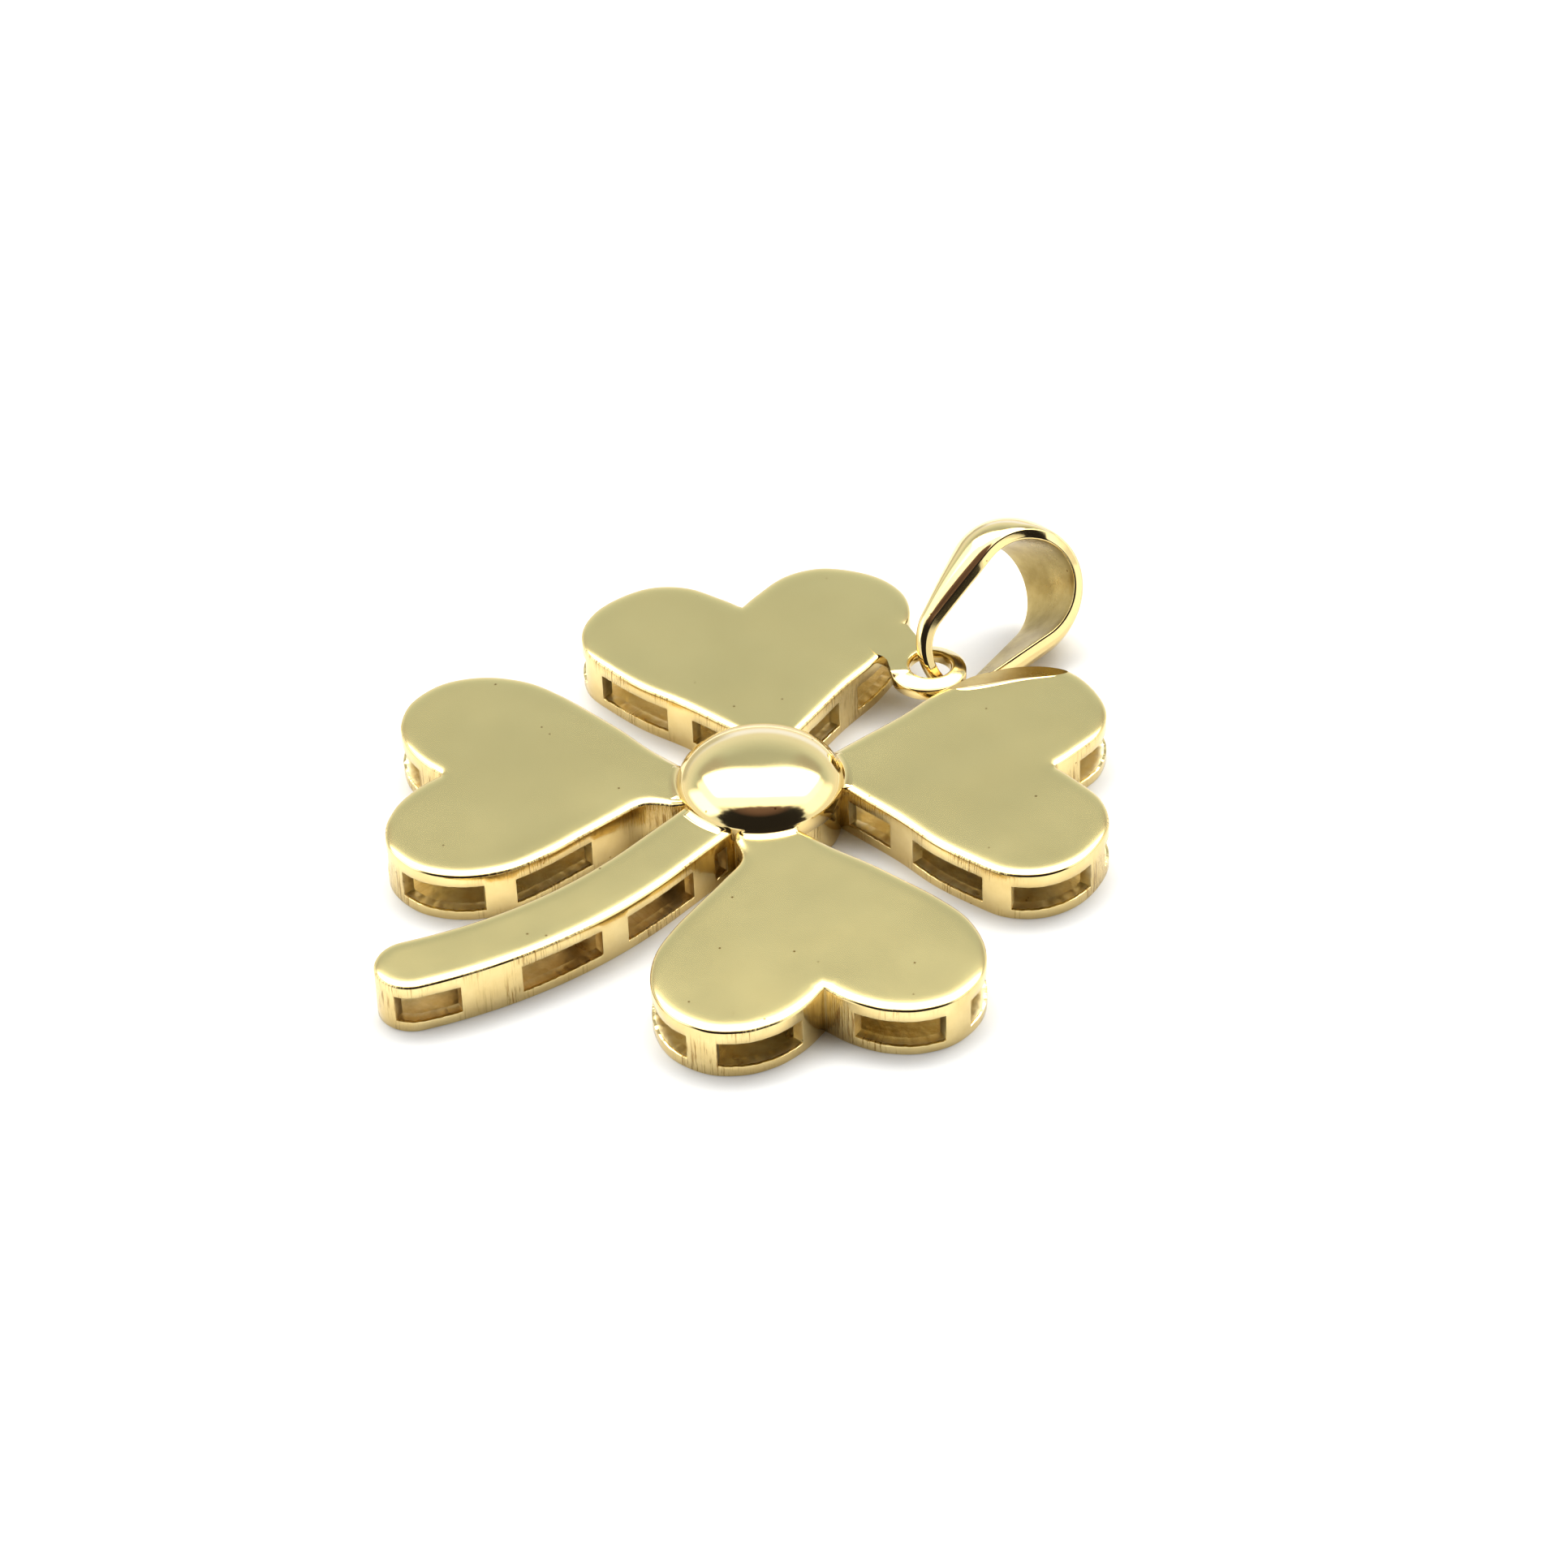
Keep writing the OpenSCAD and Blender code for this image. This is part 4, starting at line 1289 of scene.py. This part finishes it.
dome_sides, seat_r = 192, 2.5
spokes = [2 * math.pi * k / dome_sides for k in range(dome_sides)]
seats = [covered(seat_r * math.cos(a), seat_r * math.sin(a)) for a in spokes]
print("spokes with solder:", sum(seats), "of", dome_sides)

# %% Turn the dome
dome_steps, dome_floor, dome_under_edge = 40, body_h - plate_t, 0.04
seam_r = dome_point(seam_angle)[0]
dome_rows = [
    (0, dome_floor, 1), (core_r, dome_floor, 1), (seam_r - dome_under_edge, dome_floor, 1),
    (seam_r - 0.001, dome_floor + dome_under_edge, 0)]
dome_rows += [(r, z, 0) for r, z in seam_fillet()]
for i in range(dome_steps):
    dome_rows.append((*dome_point(seam_angle + (math.pi / 2 - seam_angle) * i / dome_steps), 0))
dome_rows.append((0, body_h + dome_h, 0))
dome = turned("dome", dome_rows, dome_sides, (polished_gold, inside_gold))
wear(dome)
print("dome faces:", len(dome.data.polygons))


# %% Take the solder back over the gaps
def take_back_solder(piece, beyond_seam=0.0005):
    """Moves the solder's vertices in to the seam, on each spoke that has a gap under it or near it."""
    moved = 0
    for v in piece.data.vertices:
        r = math.hypot(v.co.x, v.co.y) / MM
        if r > seam_r + beyond_seam:
            k = round(math.atan2(v.co.y, v.co.x) / (2 * math.pi) * dome_sides)
            if not all(seats[(k + near) % dome_sides] for near in (-2, -1, 0, 1, 2)):
                v.co.x, v.co.y = v.co.x * seam_r / r, v.co.y * seam_r / r
                moved += 1
    return moved


print("vertices taken back:", take_back_solder(dome))

# %% Turn the core
core_foot, core_edge = 0.012, 0.03
core_rows = [
    (0, core_foot, 0), (core_r - core_edge, core_foot, 0), (core_r, core_foot + core_edge, 0),
    (core_r, dome_floor, 0), (0, dome_floor, 0)]
core = turned("core", core_rows, 96, (wall_gold,))
wear(core)
print("core faces:", len(core.data.polygons))

# %% [markdown]
# ## The ring lug
# The bail hangs in an ear of the top sheet. The ear is a ring, open to the right, whose left side
# runs flush into the top of the upper left leaf. A turned ring can't do that, so the ear is drawn as
# spokes around its hole: every spoke has its own reach, and the outer rim is pulled down where it is
# free, but stays level where it runs into the leaf.

# %% Reach of the spokes around the hole
hole_x, hole_y, ring_inset = lug_x, lug_y + lug_hole_shift, 0.006
flush_reach = [
    (145, 0.95), (147, 1.30), (148.5, 1.70), (150, 1.92), (153, 2.05), (165, 2.15), (184, 2.15),
    (193, 1.95), (202, 1.64), (205, 1.36), (210, 1.22), (217, 1.16), (228, 1.12), (240, 1.13)]


def ring_reach(turn):
    """Distance from the hole's centre to the ring's own round edge."""
    a = math.radians(turn)
    ring_r, aside = lug_r - ring_inset, lug_hole_shift * math.cos(a)
    return -lug_hole_shift * math.sin(a) + math.sqrt(ring_r ** 2 - aside ** 2)


def spoke_reach(turn):
    reach = ring_reach(turn)
    for (t0, r0), (t1, r1) in zip(flush_reach, flush_reach[1:]):
        if t0 <= turn <= t1:
            reach = max(reach, r0 + (r1 - r0) * (turn - t0) / (t1 - t0))
    return reach


print("spoke reaches in mm:", {t: round(spoke_reach(t), 2) for t in range(0, 360, 45)})


# %% Where the ear's end is free, by turns in degrees
leaf_in, leaf_in_over, leaf_out, leaf_out_over = 136, 11, 250, 14
tight_from, tight_end, tight_over, most_tight = 190, 248, 25, 0.9


def clipped(x):
    return max(0.0, min(1.0, x))


def smooth_step(x):
    x = clipped(x)
    return x * x * (3 - 2 * x)


def freedom(turn):
    """0 where the spoke runs into the leaf, 1 where its end is free."""
    return 1 - smooth_step((turn - leaf_in) / leaf_in_over) * smooth_step((leaf_out - turn) / leaf_out_over)


def tightness(turn):
    """Above 1 where the free rim comes out of the leaf, and its roll has to be narrower."""
    return 1 + most_tight * clipped((tight_end - turn) / tight_over) * (turn > tight_from)


print("free share of the ear's rim:", round(sum(freedom(t) for t in range(360)) / 360, 2))

# %% Section of one spoke
ear_slopes = [
    (0.0, 86), (0.008, 62), (0.020, 44), (0.036, 30), (0.06, 24), (0.10, 20), (0.16, 16), (0.24, 12),
    (0.34, 8), (0.48, 4), (0.60, 1), (0.75, 0)]
ear_steps, ear_rings, ear_rim_rows = 5, 10, 7
ear_soft, ear_under_soft, ear_edge_soft = 0.11, 0.08, 0.05
ear_inset, ear_proud, ear_lift = 0.006, 0.0015, 0.10


def ear_drop(d):
    """How far the free rim is pulled down, at a distance from it."""
    drop = 0.0
    for (d0, slope0), (d1, slope1) in zip(ear_slopes, ear_slopes[1:]):
        if d < d1:
            start = max(d, d0)
            drop += (d1 - start) * math.tan(math.radians((slope0 + slope1) / 2))
    return drop


def spoke_rows(turn):
    """(radius, height) from under the hole's edge, up through the hole, over the top and down the rim."""
    reach, free, tight = spoke_reach(turn), freedom(turn), tightness(turn)
    low, high = body_h - lug_t + ear_lift * (1 - free), body_h + ear_proud
    hole_r = lug_hole_r + ear_inset
    quarter = [math.radians(90 * i / ear_steps) for i in range(ear_steps + 1)]
    rows = []
    for a in quarter:
        rows.append((hole_r + ear_under_soft * (1 - math.sin(a)), low + ear_under_soft * (1 - math.cos(a))))
    for a in quarter[:-1]:
        r = hole_r + ear_soft * (1 - math.cos(a))
        rows.append((r, high - ear_soft * (1 - math.sin(a)) - free * ear_drop((reach - r) * tight) / tight))
    rim = [d for d, _ in ear_slopes[:ear_rim_rows]]
    start = hole_r + ear_soft
    for i in range(ear_rings):
        r = start + (reach - rim[-1] - start) * i / ear_rings
        rows.append((r, high - free * ear_drop((reach - r) * tight) / tight))
    rows += [(reach - d, high - free * ear_drop(d * tight) / tight) for d in reversed(rim)]
    for a in (math.radians(30 * i) for i in range(1, 4)):
        rows.append((reach - ear_edge_soft * (1 - math.cos(a)), low + ear_edge_soft * (1 - math.sin(a))))
    return rows


print("rows in a spoke:", len(spoke_rows(0)), "rim pulled down by", round(ear_drop(0), 3), "mm")


# %% Build the ear
round_form_angle = 50


def build_lug(sides=144):
    shape = bmesh.new()
    layer = run_layer_of(shape)
    loops = []
    for k in range(sides):
        turn = 360 * k / sides
        a = math.radians(turn)
        c, s = math.cos(a), math.sin(a)
        loops.append([
            add_vertex(shape, layer, (hole_x + r * c, hole_y + r * s, z), (lug_r * a, z, 0))
            for r, z in spoke_rows(turn)])
    first_top = 2 * ear_steps + 1
    top_rows = range(first_top, first_top + ear_rings + ear_rim_rows - 1)
    for a, b in zip(loops, loops[1:] + loops[:1]):
        for i in range(len(a)):
            j = (i + 1) % len(a)
            add_face(shape, (a[i], b[i], b[j], a[j]), 0 if i in top_rows else 1)
    bmesh.ops.recalc_face_normals(shape, faces=shape.faces)
    return make_piece("ring_lug", shape, (satin_gold, polished_gold), round_form_angle)


ring_lug = build_lug()
wear(ring_lug)
print("lug faces:", len(ring_lug.data.polygons))


# %% The solder beside it
def solder_stub(name, middle, half, turn):
    """A low rounded bridge of solder with a slight waist, turned about the vertical."""
    fullness, waist_depth = 5, 0.18
    shape = bmesh.new()
    bmesh.ops.create_cube(shape, size=1.0)
    bmesh.ops.subdivide_edges(shape, edges=shape.edges, cuts=7, use_grid_fill=True)
    c, s = math.cos(math.radians(turn)), math.sin(math.radians(turn))
    for v in shape.verts:
        q = v.co * 2
        length = max(1e-9, sum(abs(part) ** fullness for part in q) ** (1 / fullness))
        p = Vector([part / length * max(abs(a) for a in q) for part in q])
        waist = 1 - waist_depth * math.cos(min(1.0, abs(q.x)) * math.pi / 2)
        x, y, z = p.x * half[0], p.y * half[1] * waist, p.z * half[2] * waist
        v.co = Vector((middle[0] + c * x - s * y, middle[1] + s * x + c * y, middle[2] + z)) * MM
    for face in shape.faces:
        face.smooth = True
    return make_piece(name, shape, (polished_gold,))


solder = solder_stub("solder_right", (1.22, 6.72, 1.245), (0.26, 0.42, 0.15), 8)
wear(solder)
print("solder faces:", len(solder.data.polygons))

# %% [markdown]
# ## The bail
# A tapered band bent into a long loop: narrow where it goes through the lug, wide where the chain
# passes. It is crowned outside and flat inside, and the wheel has slanted its edges a little. A curve
# with a bevel object could give this form, but the width, the crown and the slant all change along
# it, so each section is worked out and joined to the next.

# %% Sizes and directions of the bail
bail = {"pinch_r": 1.04, "round_r": 1.4, "span": 2.3, "pinch_w": 0.32, "round_w": 2.55, "widening": 1.2,
        "crowning": 2.6, "edge_t": 0.3, "crown_h": 0.4, "pinch_crown_h": 0.05}
swing = frame["record"]["behaviour"]["joints"][0]
bail_pivot = Vector(swing["pos_m"]) / MM
bail_across = Vector(swing["axis"]).normalized()
bail_rise, bail_yaw = math.radians(14.7094), math.radians(2)
bail_along = Vector((
    -math.sin(bail_yaw) * math.cos(bail_rise), math.cos(bail_yaw) * math.cos(bail_rise), math.sin(bail_rise)))
bail_up = bail_across.cross(bail_along).normalized()
print("bail pivot in mm:", tuple(round(c, 2) for c in bail_pivot))
print("off square:", round(bail_across.dot(bail_along), 5))


# %% The path of its inner face
def bail_path(round_steps=60, pinch_steps=40, leg_steps=14):
    arc = math.acos((bail["pinch_r"] - bail["round_r"]) / bail["span"])

    def turn(x, r, a0, a1, steps):
        angles = [a0 + (a1 - a0) * i / steps for i in range(steps + 1)]
        return [(x + r * math.cos(a), r * math.sin(a), math.cos(a), math.sin(a)) for a in angles]

    def leg(a, b):
        return [tuple(p + (q - p) * i / leg_steps for p, q in zip(a, b)) for i in range(1, leg_steps)]

    around = turn(bail["span"], bail["round_r"], -arc, arc, round_steps)
    pinch = turn(0, bail["pinch_r"], arc, 2 * math.pi - arc, pinch_steps)
    return around + leg(around[-1], pinch[0]) + pinch + leg(pinch[-1], around[0])


print("sections of the bail:", len(bail_path()))


# %% One section: flat inside, crowned outside, with soft edges
inner_steps, outer_steps, side_rows = 8, 14, 10
edge_soft, inner_sink, inner_hollow, outer_sink = 0.05, 0.004, 0.012, 0.006


def bail_section(w, crown, slant=0.0):
    """(across, out, finish) around the band, starting on the inner face. The wheel has slanted the edges:
    a slant above 0 narrows the outside, and one below 0 narrows the inside."""
    edge_t = bail["edge_t"]
    half = w / 2
    soft = min(edge_soft, 0.35 * half)
    low, high = max(0.0, -slant), max(0.0, slant)
    points = []
    for i in range(inner_steps + 1):
        u = -1 + 2 * i / inner_steps
        points.append((u * (half - low - soft), inner_sink + inner_hollow * (1 - u * u), 1))
    for a in (math.radians(90 * i / 4) for i in range(1, 4)):
        points.append((half - low - soft + soft * math.sin(a), inner_sink + soft * (1 - math.cos(a)), 0))
    for share, out in ((0.0, soft + 0.01), (0.12, soft + 0.035), (0.92, edge_t - soft - 0.015)):
        points.append((half - low + (low - high) * share, out, 0))
    for a in (math.radians(78 * i / 5) for i in range(1, 5)):
        points.append((half - high - soft * (1 - math.cos(a)), edge_t - soft + soft * math.sin(a), 0))
    for i in range(outer_steps + 1):
        u = (half - high - soft) * (1 - 2 * i / outer_steps)
        points.append((u, edge_t + crown * (1 - (u / half) ** 2) - outer_sink, 0))
    right_side = points[inner_steps + 1:inner_steps + 1 + side_rows]
    return points + [(-u, out, finish) for u, out, finish in reversed(right_side)]


print("points in a section:", len(bail_section(2.0, 0.3)))


# %% How the band changes along its way
slant_w, full_slant_w = 0.05, 1.2
lower_from, lower_over, far_from, far_over = 0.8, 0.6, 1.4, 0.7


def bail_measures(x, ny):
    """Width, crown and slant of the edges at a place on the path."""
    reach = bail["pinch_r"] + bail["span"] + bail["round_r"]
    way = clipped((x + bail["pinch_r"]) / reach)
    w = bail["pinch_w"] + (bail["round_w"] - bail["pinch_w"]) * way ** bail["widening"]
    crown = bail["crown_h"] - (bail["crown_h"] - bail["pinch_crown_h"]) * (1 - way) ** bail["crowning"]
    lower = clipped((lower_from - ny) / lower_over)
    far = smooth_step((x - far_from) / far_over)
    slant = slant_w * (lower - far * (1 - lower)) * min(1.0, w / full_slant_w)
    return w, crown, slant


print("width, crown and slant at the round end:", [round(m, 2) for m in bail_measures(3.7, 0.0)])


# %% Join the sections
def build_bail():
    shape = bmesh.new()
    layer = run_layer_of(shape)
    rings = []
    run = 0.0
    path = bail_path()
    for (x, y, nx, ny), after in zip(path, path[1:] + path[:1]):
        section = bail_section(*bail_measures(x, ny))
        ring = []
        for u, out, _ in section:
            p = bail_pivot + (x + out * nx) * bail_along + (y + out * ny) * bail_up + u * bail_across
            ring.append(add_vertex(shape, layer, p, (run, u, 0)))
        rings.append(ring)
        run += math.dist((x, y), after[:2])
    finishes = [finish for _, _, finish in section]
    for ring, after in zip(rings, rings[1:] + rings[:1]):
        for i in range(len(ring)):
            j = (i + 1) % len(ring)
            # The inner face gets the darker material: painted shade inside the loop.
            add_face(shape, (ring[i], after[i], after[j], ring[j]), 1 if finishes[i] and finishes[j] else 0)
    bmesh.ops.recalc_face_normals(shape, faces=shape.faces)
    return make_piece("bail_band", shape, (polished_gold, bail_inside_shaded_gold), round_form_angle)


bail_band = build_bail()
wear(bail_band, "bail_link", "bail")
print("bail faces:", len(bail_band.data.polygons))
